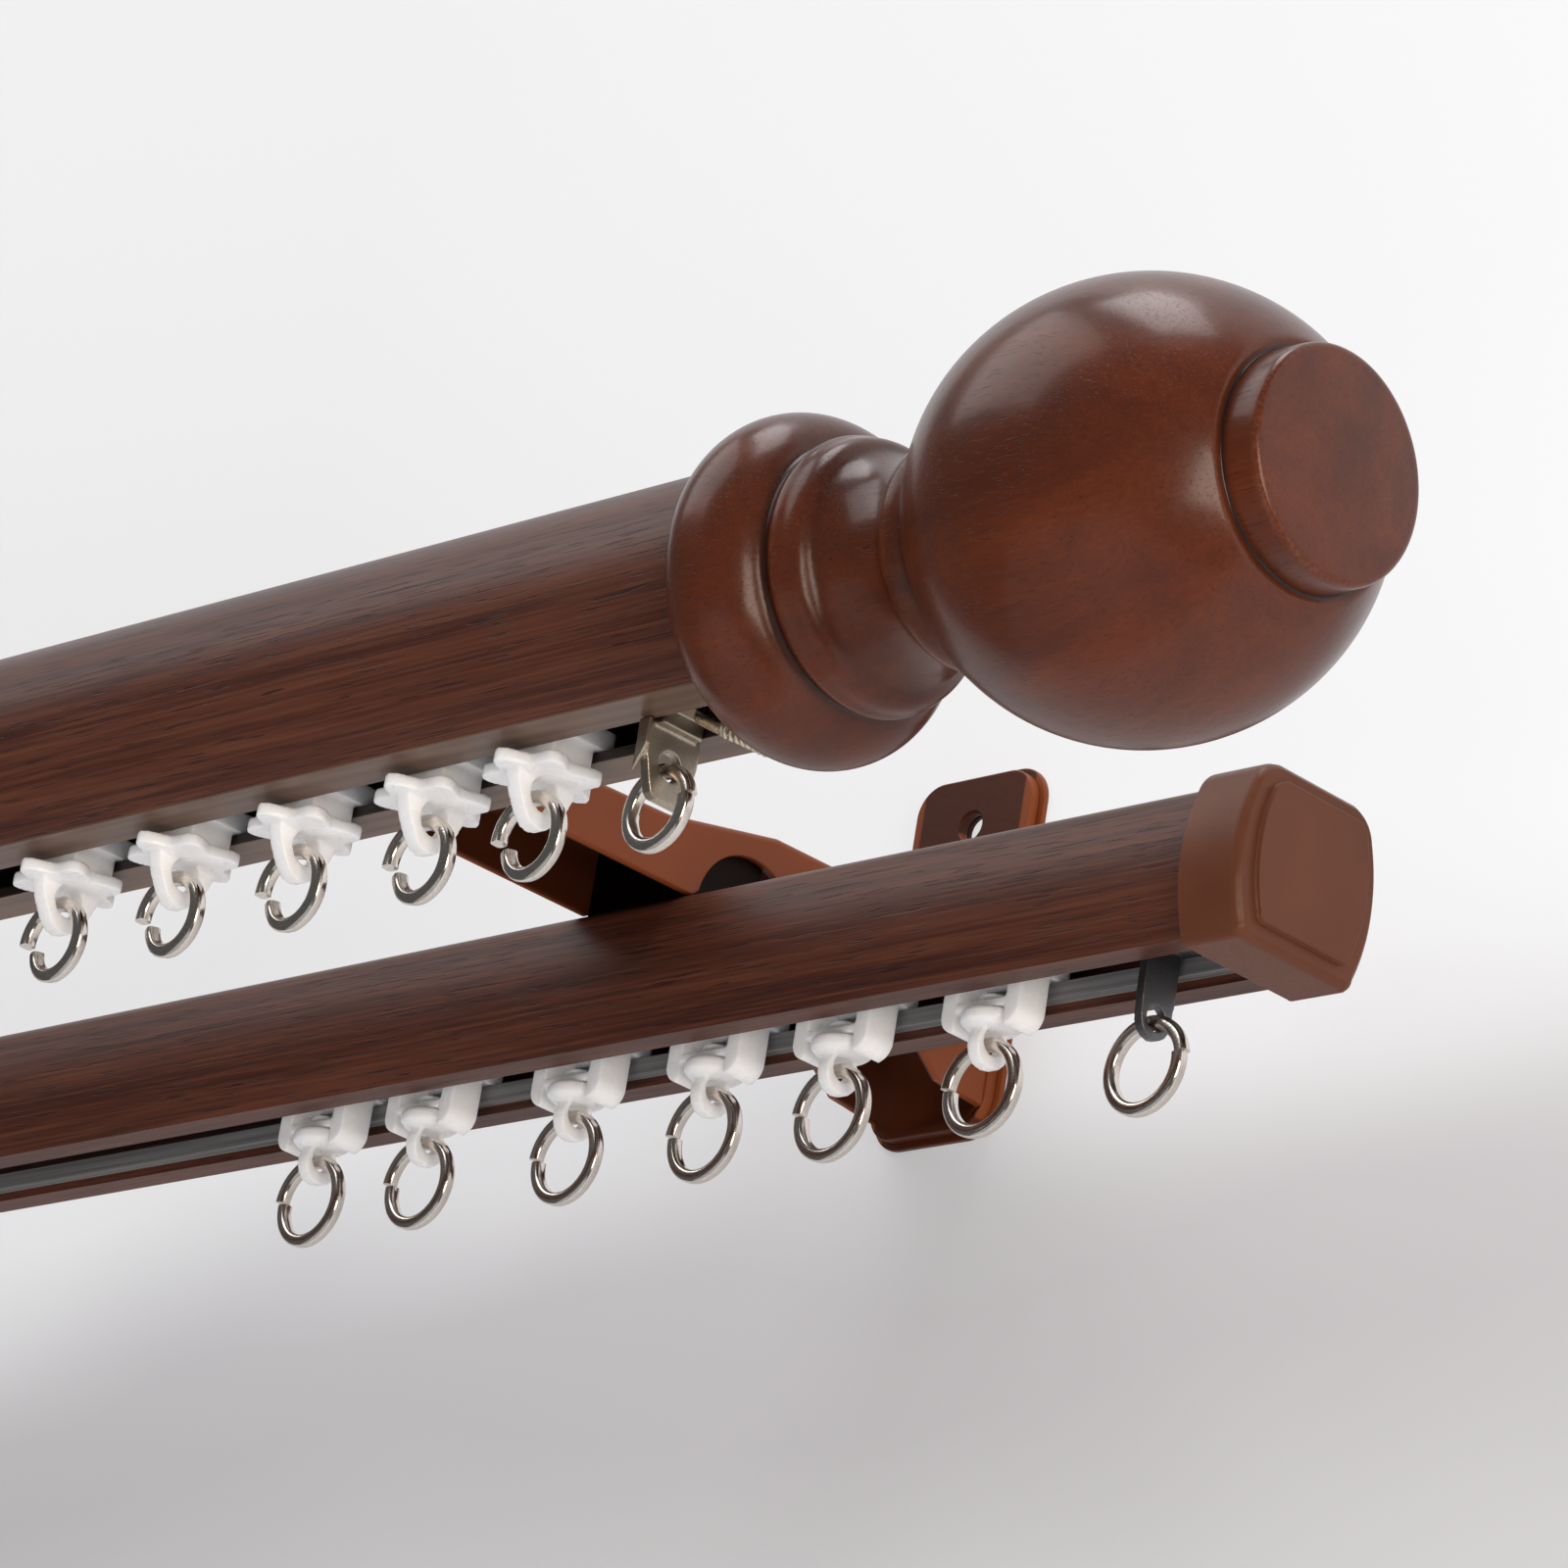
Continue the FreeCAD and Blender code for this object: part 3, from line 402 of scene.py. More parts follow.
def eased_copy(node, edge, fold=0.0):
    """A copy of a solid with its facets joined and its outer edges rounded by edge millimetres.

    With fold given, the long edges between the top and the sides are rounded by it instead.
    """
    mesh = frame["nodes"][node].data.copy()
    mesh.materials.clear()
    shape = bmesh.new()
    shape.from_mesh(mesh)
    bmesh.ops.remove_doubles(shape, verts=shape.verts, dist=0.002 * MM)
    bmesh.ops.dissolve_limit(shape, angle_limit=math.radians(1), verts=shape.verts, edges=shape.edges)
    bmesh.ops.recalc_face_normals(shape, faces=shape.faces)
    widest, sharp = max(edge, fold), math.radians(30)
    weight = shape.edges.layers.float.new("bevel_weight_edge")
    for line in shape.edges:
        line.smooth = True
        if not line.is_manifold or not line.is_convex or line.calc_face_angle() < sharp:
            continue
        normals = [face.normal for face in line.link_faces]
        is_fold = max(abs(n.x) for n in normals) > 0.9 and max(n.z for n in normals) > 0.7
        line[weight] = (fold if fold and is_fold else edge) / widest
    for face in shape.faces:
        face.smooth = True
    shape.to_mesh(mesh)
    shape.free()
    piece = show(node + "_eased", mesh)
    bevel = piece.modifiers.new("Eased edges", "BEVEL")
    bevel.width = widest * MM
    bevel.segments = 3
    bevel.limit_method = "WEIGHT"
    bevel.use_clamp_overlap = False
    normals = piece.modifiers.new("Flat faces", "WEIGHTED_NORMAL")
    normals.weight = 100
    return applied(piece)


def arc(start, end, radius, side, step=0.4):
    """Points from start to end on a bow of that radius, to the left of the way for side 1."""
    chord = end - start
    half = chord.length / 2
    across = Vector((-chord.y, chord.x)).normalized() * side
    centre = (start + end) / 2 - across * math.sqrt(max(radius * radius - half * half, 0))
    sweep = 2 * math.asin(min(half / radius, 1.0))
    count = max(2, math.ceil(sweep * radius / step))
    first = start - centre
    return [centre + Matrix.Rotation(-side * sweep * index / count, 2) @ first for index in range(count)]


def outline(corners, step=0.4):
    """A turned outline in millimetres: each corner is (place, radius) with the bow that follows it."""
    points = []
    for (place, radius, *bow), (next_place, next_radius, *_) in zip(corners, corners[1:]):
        start, end = Vector((place, radius)), Vector((next_place, next_radius))
        if bow:
            points += arc(start, end, bow[0], bow[1], step)
        else:
            count = max(1, math.ceil((end - start).length / step))
            points += [start.lerp(end, index / count) for index in range(count)]
    points.append(Vector(corners[-1][:2]))
    return points


def relaxed(points, passes):
    """The same line with its corners rounded; its ends stay."""
    for _ in range(passes):
        inner = [(before + point * 2 + after) / 4
                 for before, point, after in zip(points, points[1:], points[2:])]
        points = [points[0]] + inner + [points[-1]]
    return points


def turned_mesh(name, points, relief, segments):
    """Turn an outline of (place, radius) in metres about the X axis."""
    mesh = bpy.data.meshes.new(name)
    shape = bmesh.new()
    layer = shape.verts.layers.float.new("relief")
    rings = []
    for point, height in zip(points, relief):
        if point.y < 1e-7:
            ring = [shape.verts.new((point.x, 0, 0))]
        else:
            angles = (2 * math.pi * index / segments for index in range(segments))
            ring = [shape.verts.new((point.x, point.y * math.cos(angle), point.y * math.sin(angle)))
                    for angle in angles]
        for vertex in ring:
            vertex[layer] = height
        rings.append(ring)
    for near, far in zip(rings, rings[1:]):
        for index in range(segments):
            after = (index + 1) % segments
            corners = [near[index % len(near)], near[after % len(near)],
                       far[after % len(far)], far[index % len(far)]]
            face = shape.faces.new(list(dict.fromkeys(corners)))
            face.smooth = True
    bmesh.ops.recalc_face_normals(shape, faces=shape.faces)
    shape.to_mesh(mesh)
    shape.free()
    return mesh


def slab(shape, loops, axis, low, high):
    """Add a closed flat piece, thick along one axis: its outline, then its holes.

    Like every size of a small moulded or pressed piece, these are millimetres from the pole's axis.
    """
    def spot(point, depth):
        place = list(point)
        place.insert("XYZ".index(axis), depth)
        return Vector(place) * MM

    flat = [point for loop in loops for point in loop]
    near = [shape.verts.new(spot(point, low)) for point in flat]
    far = [shape.verts.new(spot(point, high)) for point in flat]
    for corners in tessellate_polygon([[Vector((*point, 0)) for point in loop] for loop in loops]):
        shape.faces.new([near[corner] for corner in corners])
        shape.faces.new([far[corner] for corner in reversed(corners)])
    start = 0
    for loop in loops:
        for index in range(len(loop)):
            here, after = start + index, start + (index + 1) % len(loop)
            shape.faces.new((near[here], near[after], far[after], far[here]))
        start += len(loop)


def circle(centre, radius, count=32):
    """The outline of a round hole."""
    angles = [2 * math.pi * index / count for index in range(count)]
    return [(centre[0] + radius * math.cos(a), centre[1] + radius * math.sin(a)) for a in angles]


def both_sides(right):
    """An outline from its right half, given from top to bottom."""
    return list(right) + [(-across, up) for across, up in reversed(right) if abs(across) > 1e-6]


def cut_corners(half, deep, cut):
    """A rectangle of half by deep millimetres to each side, with its corners cut off."""
    quarter = [(half - cut, -deep), (half, cut - deep), (half, deep - cut), (half - cut, deep)]
    return both_sides(quarter)


def moulded(name, shape, voxel=0.2, passes=3, keep=0.28):
    """Melt closed solids into one moulded piece with soft edges and fillets."""
    bmesh.ops.recalc_face_normals(shape, faces=shape.faces)
    mesh = bpy.data.meshes.new(name)
    shape.to_mesh(mesh)
    shape.free()
    piece = show(name, mesh)
    melt = piece.modifiers.new("Melt", "REMESH")
    melt.mode = "VOXEL"
    melt.voxel_size = voxel * MM
    soften = piece.modifiers.new("Soften", "SMOOTH")
    soften.factor, soften.iterations = 0.5, passes
    thin = piece.modifiers.new("Thin", "DECIMATE")
    thin.ratio = keep
    piece = applied(piece)
    for face in piece.data.polygons:
        face.use_smooth = True
    return piece


def set_at(pattern, name, place):
    """A copy of a small piece made round the origin, moved to its place along its pole."""
    mesh = pattern.data.copy()
    mesh.transform(Matrix.Translation(place))
    return show(name, mesh)


FINIAL_OUTLINE = (
    # From the bore's floor out through the mouth, over the collar, neck and ball to the button
    (9.25, 0.0), (9.25, 17.75), (0.0, 17.75), (0.0, 19.2, 1.2, 1), (0.6, 20.2, 8.6, 1), (13.2, 18.2),
    (13.7, 17.1, 0.9, -1), (14.9, 16.8), (15.3, 17.4, 1.6, 1), (17.2, 17.0, 2.6, 1),
    (20.0, 15.0, 9.4, -1), (29.4, 12.6), (30.0, 13.3, 2.4, 1), (33.6, 14.3),
)
BALL_CENTRE, BALL_RADIUS, BALL_BOW = 60.7, 27.85, 31.0
BALL_START, BALL_END = 14.0, 15.4
BUTTON_RADIUS, BUTTON_FACE = 14.3, 90.5


def finial_outline():
    """The whole finial: the ball is a bow of 31 mm whose middle lies a little beyond the axis."""
    sink = BALL_BOW - BALL_RADIUS
    start = BALL_CENTRE - math.sqrt(BALL_BOW ** 2 - (BALL_START + sink) ** 2)
    end = BALL_CENTRE + math.sqrt(BALL_BOW ** 2 - (BALL_END + sink) ** 2)
    corners = FINIAL_OUTLINE + (
        (start, BALL_START, BALL_BOW, 1), (end, BALL_END), (end - 0.5, BUTTON_RADIUS + 0.1),
        (BUTTON_FACE - 0.9, BUTTON_RADIUS, 0.9, 1), (BUTTON_FACE, BUTTON_RADIUS - 1.1, 150.0, 1),
        (BUTTON_FACE + 0.6, 0.0),
    )
    return relaxed(outline(corners), 3)


def relief_of(points, passes=9):
    """How far each point stands proud of the line's broad form: edges are positive, grooves negative."""
    broad = relaxed(points, passes)
    heights = []
    for index, (point, base) in enumerate(zip(points, broad)):
        along = points[min(index + 1, len(points) - 1)] - points[max(index - 1, 0)]
        outward = Vector((-along.y, along.x)).normalized()
        heights.append((point - base).dot(outward))
    return heights


class Tree(Nodes):
    """A geometry node tree with named inputs that ends in one realised and painted mesh."""

    def __init__(self, name, inputs):
        self.tree = bpy.data.node_groups.new(name, "GeometryNodeTree")
        for label, kind, default in inputs:
            socket = self.tree.interface.new_socket(label, in_out="INPUT", socket_type="NodeSocket" + kind)
            if default is not None:
                socket.default_value = default
        self.tree.interface.new_socket("Geometry", in_out="OUTPUT", socket_type="NodeSocketGeometry")
        self.inputs = self.add("NodeGroupInput").outputs

    def math(self, operation, *values):
        return self.add("ShaderNodeMath", dict(enumerate(values)), operation=operation).outputs[0]

    def moved(self, geometry, place=(0, 0, 0), turn=(0, 0, 0)):
        return self.add("GeometryNodeTransform", {
            "Geometry": geometry, "Translation": place, "Rotation": turn}).outputs[0]

    def close(self, geometry):
        smooth = self.add("GeometryNodeSetShadeSmooth", {"Geometry": geometry}).outputs[0]
        whole = self.add("GeometryNodeRealizeInstances", {"Geometry": smooth}).outputs[0]
        painted = self.add("GeometryNodeSetMaterial", {"Geometry": whole, "Material": self.inputs["Finish"]})
        self.add("NodeGroupOutput", {"Geometry": painted.outputs[0]})
        return self.tree


def grown(name, tree, values):
    """Run a geometry node tree once and keep its result as a plain mesh."""
    seed = show(name, bpy.data.meshes.new(name))
    maker = seed.modifiers.new("Maker", "NODES")
    maker.node_group = tree
    for item in tree.interface.items_tree:
        if item.in_out == "INPUT" and item.name in values:
            maker[item.identifier] = values[item.name]
    return applied(seed)


def ring_tree():
    """An open ring bent from soft-cornered square wire in the XZ plane, its ends beside each other."""
    tree = Tree("Open wire ring", (
        ("Middle radius", "Float", 5 * MM), ("Wire radius", "Float", 0.95 * MM), ("Gap", "Float", 1 * MM),
        ("Offset", "Float", 0.5 * MM), ("Gap angle", "Float", math.pi),
        ("Place", "Vector", None), ("Finish", "Material", None)))
    knobs = tree.inputs
    open_angle = tree.math("DIVIDE", knobs["Gap"], knobs["Middle radius"])
    rotations = tree.math("SUBTRACT", 1.0, tree.math("DIVIDE", open_angle, 2 * math.pi))
    wire = tree.add("GeometryNodeCurveSpiral", {
        "Resolution": 72, "Rotations": rotations, "Start Radius": knobs["Middle radius"],
        "End Radius": knobs["Middle radius"], "Height": knobs["Offset"]})
    share = tree.add("GeometryNodeSplineParameter").outputs["Factor"]
    to_end = tree.math("MINIMUM", share, tree.math("SUBTRACT", 1.0, share))
    eased = tree.add("ShaderNodeMapRange", {
        "Value": to_end, "From Min": 0.0, "From Max": 0.012, "To Min": 0.72, "To Max": 1.0})
    tapered = tree.add("GeometryNodeSetCurveRadius", {"Curve": wire.outputs[0], "Radius": eased.outputs[0]})
    side = tree.math("MULTIPLY", knobs["Wire radius"], 2.0)
    square = tree.add("GeometryNodeCurvePrimitiveQuadrilateral", {"Width": side, "Height": side})
    section = tree.add("GeometryNodeFilletCurve", {
        "Curve": square.outputs[0], "Count": 4,
        "Radius": tree.math("MULTIPLY", knobs["Wire radius"], 0.66)}, mode="POLY")
    swept = tree.add("GeometryNodeCurveToMesh", {
        "Curve": tapered.outputs[0], "Profile Curve": section.outputs[0], "Fill Caps": True})
    back = tree.add("ShaderNodeCombineXYZ", {"Z": tree.math("MULTIPLY", knobs["Offset"], -0.5)}).outputs[0]
    start = tree.math("ADD", knobs["Gap angle"], tree.math("MULTIPLY", open_angle, 0.5))
    about_axis = tree.add("ShaderNodeCombineXYZ", {"Z": start}).outputs[0]
    round_gap = tree.moved(swept.outputs[0], back, about_axis)
    upright = tree.moved(round_gap, turn=(math.pi / 2, 0, 0))
    return tree.close(tree.moved(upright, knobs["Place"]))


def thread_tree():
    """A screw thread: a ridge of diamond section wound along the X axis."""
    tree = Tree("Screw thread", (
        ("Length", "Float", 6 * MM), ("Radius", "Float", 1.3 * MM), ("Pitch", "Float", 1.1 * MM),
        ("Finish", "Material", None)))
    knobs = tree.inputs
    wound = tree.add("GeometryNodeCurveSpiral", {
        "Resolution": 24, "Rotations": tree.math("DIVIDE", knobs["Length"], knobs["Pitch"]),
        "Start Radius": knobs["Radius"], "End Radius": tree.math("MULTIPLY", knobs["Radius"], 0.72),
        "Height": knobs["Length"]})
    ridge = tree.add("GeometryNodeCurvePrimitiveCircle", {
        "Resolution": 4, "Radius": tree.math("MULTIPLY", knobs["Pitch"], 0.34)})
    swept = tree.add("GeometryNodeCurveToMesh", {
        "Curve": wound.outputs[0], "Profile Curve": ridge.outputs[0], "Fill Caps": True})
    return tree.close(tree.moved(swept.outputs[0], turn=(0, math.pi / 2, 0)))


# Operators, one for each piece or group of like pieces
class CURTAINPOLE_OT_poles(bpy.types.Operator):
    """Film on both poles and the grey slide strips in the rear pole"""
    bl_idname = "curtainpole.poles"
    bl_label = "Poles"

    def execute(self, context):
        looks = context.scene.pole_looks
        repaint("front_pole", front_pole_finish(looks))
        repaint("rear_pole", rear_pole_finish(looks))
        strip = liner_finish()
        for node in ("slot_liner_front", "slot_liner_rear"):
            repaint(node, strip)
        return {"FINISHED"}


class CURTAINPOLE_OT_finials(bpy.types.Operator):
    """Turned ball finials in lacquered wood"""
    bl_idname = "curtainpole.finials"
    bl_label = "Finials"

    def execute(self, context):
        looks = context.scene.finial_looks
        wood = finial_finish(looks)
        points = finial_outline()
        relief = relief_of(points)
        for node, side in (("finial_right", 1), ("finial_left", -1)):
            low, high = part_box(node)
            mouth = low.x if side == 1 else high.x
            mesh = turned_mesh(node, [point * MM for point in points], relief, looks.turns)
            spin = Matrix.Rotation(math.pi if side == -1 else 0, 4, "Z")
            mesh.transform(Matrix.Translation((mouth, FRONT_AXIS.y, FRONT_AXIS.z)) @ spin)
            settle(show(node + "_turned", mesh), wood, node)
        return {"FINISHED"}


class CURTAINPOLE_OT_finial_screws(bpy.types.Operator):
    """Round-headed screws with threads at the finials' mouths"""
    bl_idname = "curtainpole.finial_screws"
    bl_label = "Finial screws"

    radius: bpy.props.FloatProperty(name="Plain shank radius", unit="LENGTH", default=1.3 * MM)
    dip: bpy.props.FloatProperty(name="Dip", subtype="ANGLE", default=math.radians(27.2))
    before_mouth: bpy.props.FloatProperty(name="Before the mouth", unit="LENGTH", default=5.7 * MM)
    below_axis: bpy.props.FloatProperty(name="Below the axis", unit="LENGTH", default=16.05 * MM)

    def execute(self, context):
        plate = metal_finish("Pale screw plate", context.scene.hardware_looks.brass, 0.24, 1.0)
        plain = self.radius / MM
        shank, thread_end, tip = 6.0, 9.4, 11.0
        corners = ((-shank, 0.0), (-shank, plain - 0.4, 0.4, 1), (0.4 - shank, plain), (0.0, plain),
                   (0.3, plain - 0.35), (thread_end, plain - 0.4), (tip - 0.2, 0.25), (tip, 0.0))
        points = relaxed(outline(corners, 0.15), 2)
        thread = thread_tree()
        body = bmesh.new()
        for side in (1, -1):
            core = turned_mesh("core", [point * MM for point in points], [0.0] * len(points), 40)
            ridge = grown("ridge", thread, {
                "Length": 9 * MM, "Radius": self.radius * 0.8, "Pitch": 1.2 * MM})
            ridge.data.transform(Matrix.Translation((0.5 * MM, 0, 0)))
            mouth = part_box("finial_right")[0].x
            place = Matrix.Translation((
                side * (mouth - self.before_mouth), FRONT_AXIS.y, FRONT_AXIS.z - self.below_axis))
            spin = Matrix.Rotation(math.pi if side == -1 else 0, 4, "Z") @ Matrix.Rotation(self.dip, 4, "Y")
            for mesh in (core, ridge.data):
                mesh.transform(place @ spin)
                body.from_mesh(mesh)
            bpy.data.objects.remove(ridge)
        mesh = bpy.data.meshes.new("finial_screws_threaded")
        body.to_mesh(mesh)
        body.free()
        settle(show("finial_screws_threaded", mesh), plate, "finial_screws")
        return {"FINISHED"}


class CURTAINPOLE_OT_end_caps(bpy.types.Operator):
    """Moulded caps on the rear pole"""
    bl_idname = "curtainpole.end_caps"
    bl_label = "End caps"

    def execute(self, context):
        plastic = cap_finish(context.scene.hardware_looks)
        for node in ("end_cap_right", "end_cap_left"):
            settle(eased_copy(node, 0.22), plastic, node)
        return {"FINISHED"}


class CURTAINPOLE_OT_brackets(bpy.types.Operator):
    """Folded steel arms, wall plates and what holds the poles on them"""
    bl_idname = "curtainpole.brackets"
    bl_label = "Brackets"

    def execute(self, context):
        paint = paint_finish(context.scene.hardware_looks)
        zinc = metal_finish("Zinc plate", (0.58, 0.57, 0.55, 1), 0.32, 1.0)
        # Near-black for the rear hangers: partly their dark steel, partly painted shade for the shade in
        # their notch
        dark = metal_finish("Black steel with painted notch shade", tone(34, 26, 23), 0.5, 2.0)
        for side in ("right", "left"):
            settle(eased_copy("bracket_arm_" + side, 0.3, 1.2), paint, "bracket_arm_" + side)
            settle(eased_copy("wall_plate_" + side, 0.25), paint, "wall_plate_" + side)
            repaint("rear_hanger_" + side, dark)
        for node in ("pole_screws", "lock_screws"):
            repaint(node, zinc)
        return {"FINISHED"}


class CURTAINPOLE_OT_gliders(bpy.types.Operator):
    """Moulded gliders of both poles and the swivelling eyes"""
    bl_idname = "curtainpole.gliders"
    bl_label = "Gliders"

    def execute(self, context):
        plastic = milk_finish(context.scene.hardware_looks)
        patterns = {"front_glider": self.front_glider(), "rear_carriage": self.carriage(),
                    "rear_eye": self.eye()}
        for node in sorted(frame["nodes"]):
            if SLOTS[node] != "glider":
                continue
            family = node.rsplit("_", 1)[0]
            axis = FRONT_AXIS if family == "front_glider" else REAR_AXIS
            place = Vector((middle(node).x, axis.y, axis.z))
            settle(set_at(patterns[family], node + "_moulded", place), plastic, node)
        for pattern in patterns.values():
            bpy.data.objects.remove(pattern)
        return {"FINISHED"}

    def front_glider(self):
        """Head in the channel, block in the slot, six-lobed flange and a shield-shaped eye."""
        lobes, flange_radius, lobe_depth, points = 6, 6.7, 1.15, 96
        eye_centre, eye_radius, half_thick = (0.0, -19.6), 2.3, 1.2
        shape = bmesh.new()
        slab(shape, [cut_corners(6.0, 7.2, 1.5)], "Z", -12.9, -9.9)
        slab(shape, [cut_corners(5.2, 3.4, 0.1)], "Z", -16.6, -12.6)
        star = []
        for step in range(points):
            angle = 2 * math.pi * step / points
            reach = flange_radius + lobe_depth * math.cos(lobes * (angle - math.pi / lobes))
            star.append((reach * math.cos(angle), reach * math.sin(angle)))
        slab(shape, [star], "Z", -17.6, -16.0)
        shield = both_sides([(5.0, -17.0), (4.8, -18.5), (4.2, -20.1), (3.3, -21.7), (2.3, -23.1),
                             (1.2, -24.0), (0.0, -24.3)])
        slab(shape, [shield, circle(eye_centre, eye_radius)], "X", -half_thick, half_thick)
        return moulded("front_glider_pattern", shape)

    def carriage(self):
        """Head on the slide strips and two round-footed legs with a bridge between them."""
        outer, inner, leg_top, half_deep = 7.35, 4.6, -6.5, 2.7
        bow_radius, bow_centre = 2.8, (4.55, -12.4)
        shape = bmesh.new()
        slab(shape, [cut_corners(outer, 7.6, 1.5)], "Z", -6.9, -3.7)
        bow = [(bow_centre[0] + bow_radius * math.sin(angle), bow_centre[1] - bow_radius * math.cos(angle))
               for angle in (math.radians(15 * step) for step in range(6, 0, -1))]
        leg = [(outer, leg_top)] + bow + [(inner + 0.4, -15.2), (inner, -14.8), (inner, leg_top)]
        for side in (1, -1):
            slab(shape, [[(across * side, up) for across, up in leg]], "Y", -half_deep, half_deep)
        bridge = [(-4.8, -12.2), (4.8, -12.2), (4.8, -11.1), (-4.8, -11.1)]
        slab(shape, [bridge], "Y", -half_deep, half_deep)
        return moulded("carriage_pattern", shape)

    def eye(self):
        """Dish that turns between the legs, with a pin above it and the eye below it."""
        eye_centre, eye_radius, half_thick = (0.0, -16.4), 1.95, 1.05
        profile = [Vector(point) * MM for point in (
            (-14.9, 0.0), (-14.9, 2.4), (-14.6, 3.6), (-14.0, 4.3), (-12.9, 4.4), (-12.4, 4.1),
            (-12.4, 1.2), (-10.4, 1.2), (-10.4, 2.2), (-9.9, 2.2), (-9.9, 0.0))]
        dish = turned_mesh("dish", profile, [0.0] * len(profile), 48)
        dish.transform(Matrix.Rotation(-math.pi / 2, 4, "Y"))
        shape = bmesh.new()
        shape.from_mesh(dish)
        tongue = both_sides([(2.0, -14.6), (2.5, -15.4), (3.0, -16.4), (3.0, -17.6), (2.6, -18.9),
                             (1.6, -19.9), (0.0, -20.2)])
        slab(shape, [tongue, circle(eye_centre, eye_radius)], "X", -half_thick, half_thick)
        return moulded("eye_pattern", shape)


class CURTAINPOLE_OT_stops(bpy.types.Operator):
    """Pressed steel end stops in both slots"""
    bl_idname = "curtainpole.stops"
    bl_label = "End stops"

    def execute(self, context):
        pale = metal_finish("Nickel strip", (0.50, 0.44, 0.36, 1), 0.34, 3.0)
        dark = metal_finish("Dark steel strip", (0.20, 0.20, 0.21, 1), 0.38, 3.0)
        front, rear = self.front_stop(), self.rear_stop()
        for side in ("right", "left"):
            for pattern, metal, axis, node in ((front, pale, FRONT_AXIS, "front_stop_" + side),
                                               (rear, dark, REAR_AXIS, "rear_stop_" + side)):
                place = Vector((middle(node).x, axis.y, axis.z))
                settle(set_at(pattern, node + "_pressed", place), metal, node)
        for pattern in (front, rear):
            bpy.data.objects.remove(pattern)
        return {"FINISHED"}

    def front_stop(self):
        """Plate above the lips, neck in the slot and a folded strip with an eye below."""
        shape = bmesh.new()
        slab(shape, [cut_corners(5.0, 6.5, 0.5)], "Z", -13.1, -11.9)
        slab(shape, [cut_corners(2.2, 3.4, 0.2)], "Z", -15.2, -12.6)
        strip = [(4.2, -14.7), (-4.8, -14.7), (-4.9, -16.1), (-3.0, -22.4), (-2.4, -23.8), (-1.6, -24.4),
                 (2.9, -24.4), (3.5, -23.9), (3.6, -21.6), (4.4, -19.0), (4.6, -16.4)]
        eye_centre, eye_radius, half_thick = (0.1, -19.6), 1.9, 0.75
        slab(shape, [strip, circle(eye_centre, eye_radius)], "X", -half_thick, half_thick)
        lip = [(-0.7, -14.7), (1.2, -14.7), (1.2, -18.2), (-0.7, -21.5)]
        slab(shape, [lip], "Y", -4.9, -4.1)
        return moulded("front_stop_pattern", shape, 0.17, 2, 0.3)

    def rear_stop(self):
        """Plate on the slide strips and a flat strip that ends in a round eye."""
        shape = bmesh.new()
        slab(shape, [cut_corners(3.2, 7.0, 0.4)], "Z", -7.1, -5.6)
        end_radius, end_centre = 2.9, -17.2
        eye_centre, eye_radius, half_thick = (0.0, -17.1), 1.8, 0.7
        bow = [(end_radius * math.cos(angle), end_centre - end_radius * math.sin(angle))
               for angle in (math.radians(15 * step) for step in range(7))]
        strip = both_sides([(3.1, -6.6), (3.1, -14.2)] + bow)
        slab(shape, [strip, circle(eye_centre, eye_radius)], "X", -half_thick, half_thick)
        return moulded("rear_stop_pattern", shape, 0.17, 2, 0.3)


class CURTAINPOLE_OT_rings(bpy.types.Operator):
    """Open wire rings in every eye"""
    bl_idname = "curtainpole.rings"
    bl_label = "Rings"

    def execute(self, context):
        looks = context.scene.hardware_looks
        nickel = metal_finish("Nickel wire", looks.nickel, 0.14, 2.0)
        tree = ring_tree()
        for node in sorted(frame["nodes"]):
            if SLOTS[node] != "ring":
                continue
            low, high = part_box(node)
            wire = (high.y - low.y) / 2
            # How far the ends stand apart and beside each other, and where they are round the ring
            gap, offset, angle = looks.ring_gap, looks.ring_offset, 184
            if "stop" in node:
                gap, offset, angle = 0.35 * MM, 0.5 * MM, 8
            elif node.startswith("rear"):
                gap, offset, angle = 0.25 * MM, 0.6 * MM, 176
            ring = grown(node + "_wire", tree, {
                "Middle radius": (high.z - low.z) / 2 - wire, "Wire radius": wire, "Gap": gap,
                "Offset": -offset, "Gap angle": math.radians(angle), "Place": tuple((low + high) / 2)})
            settle(ring, nickel, node)
        return {"FINISHED"}


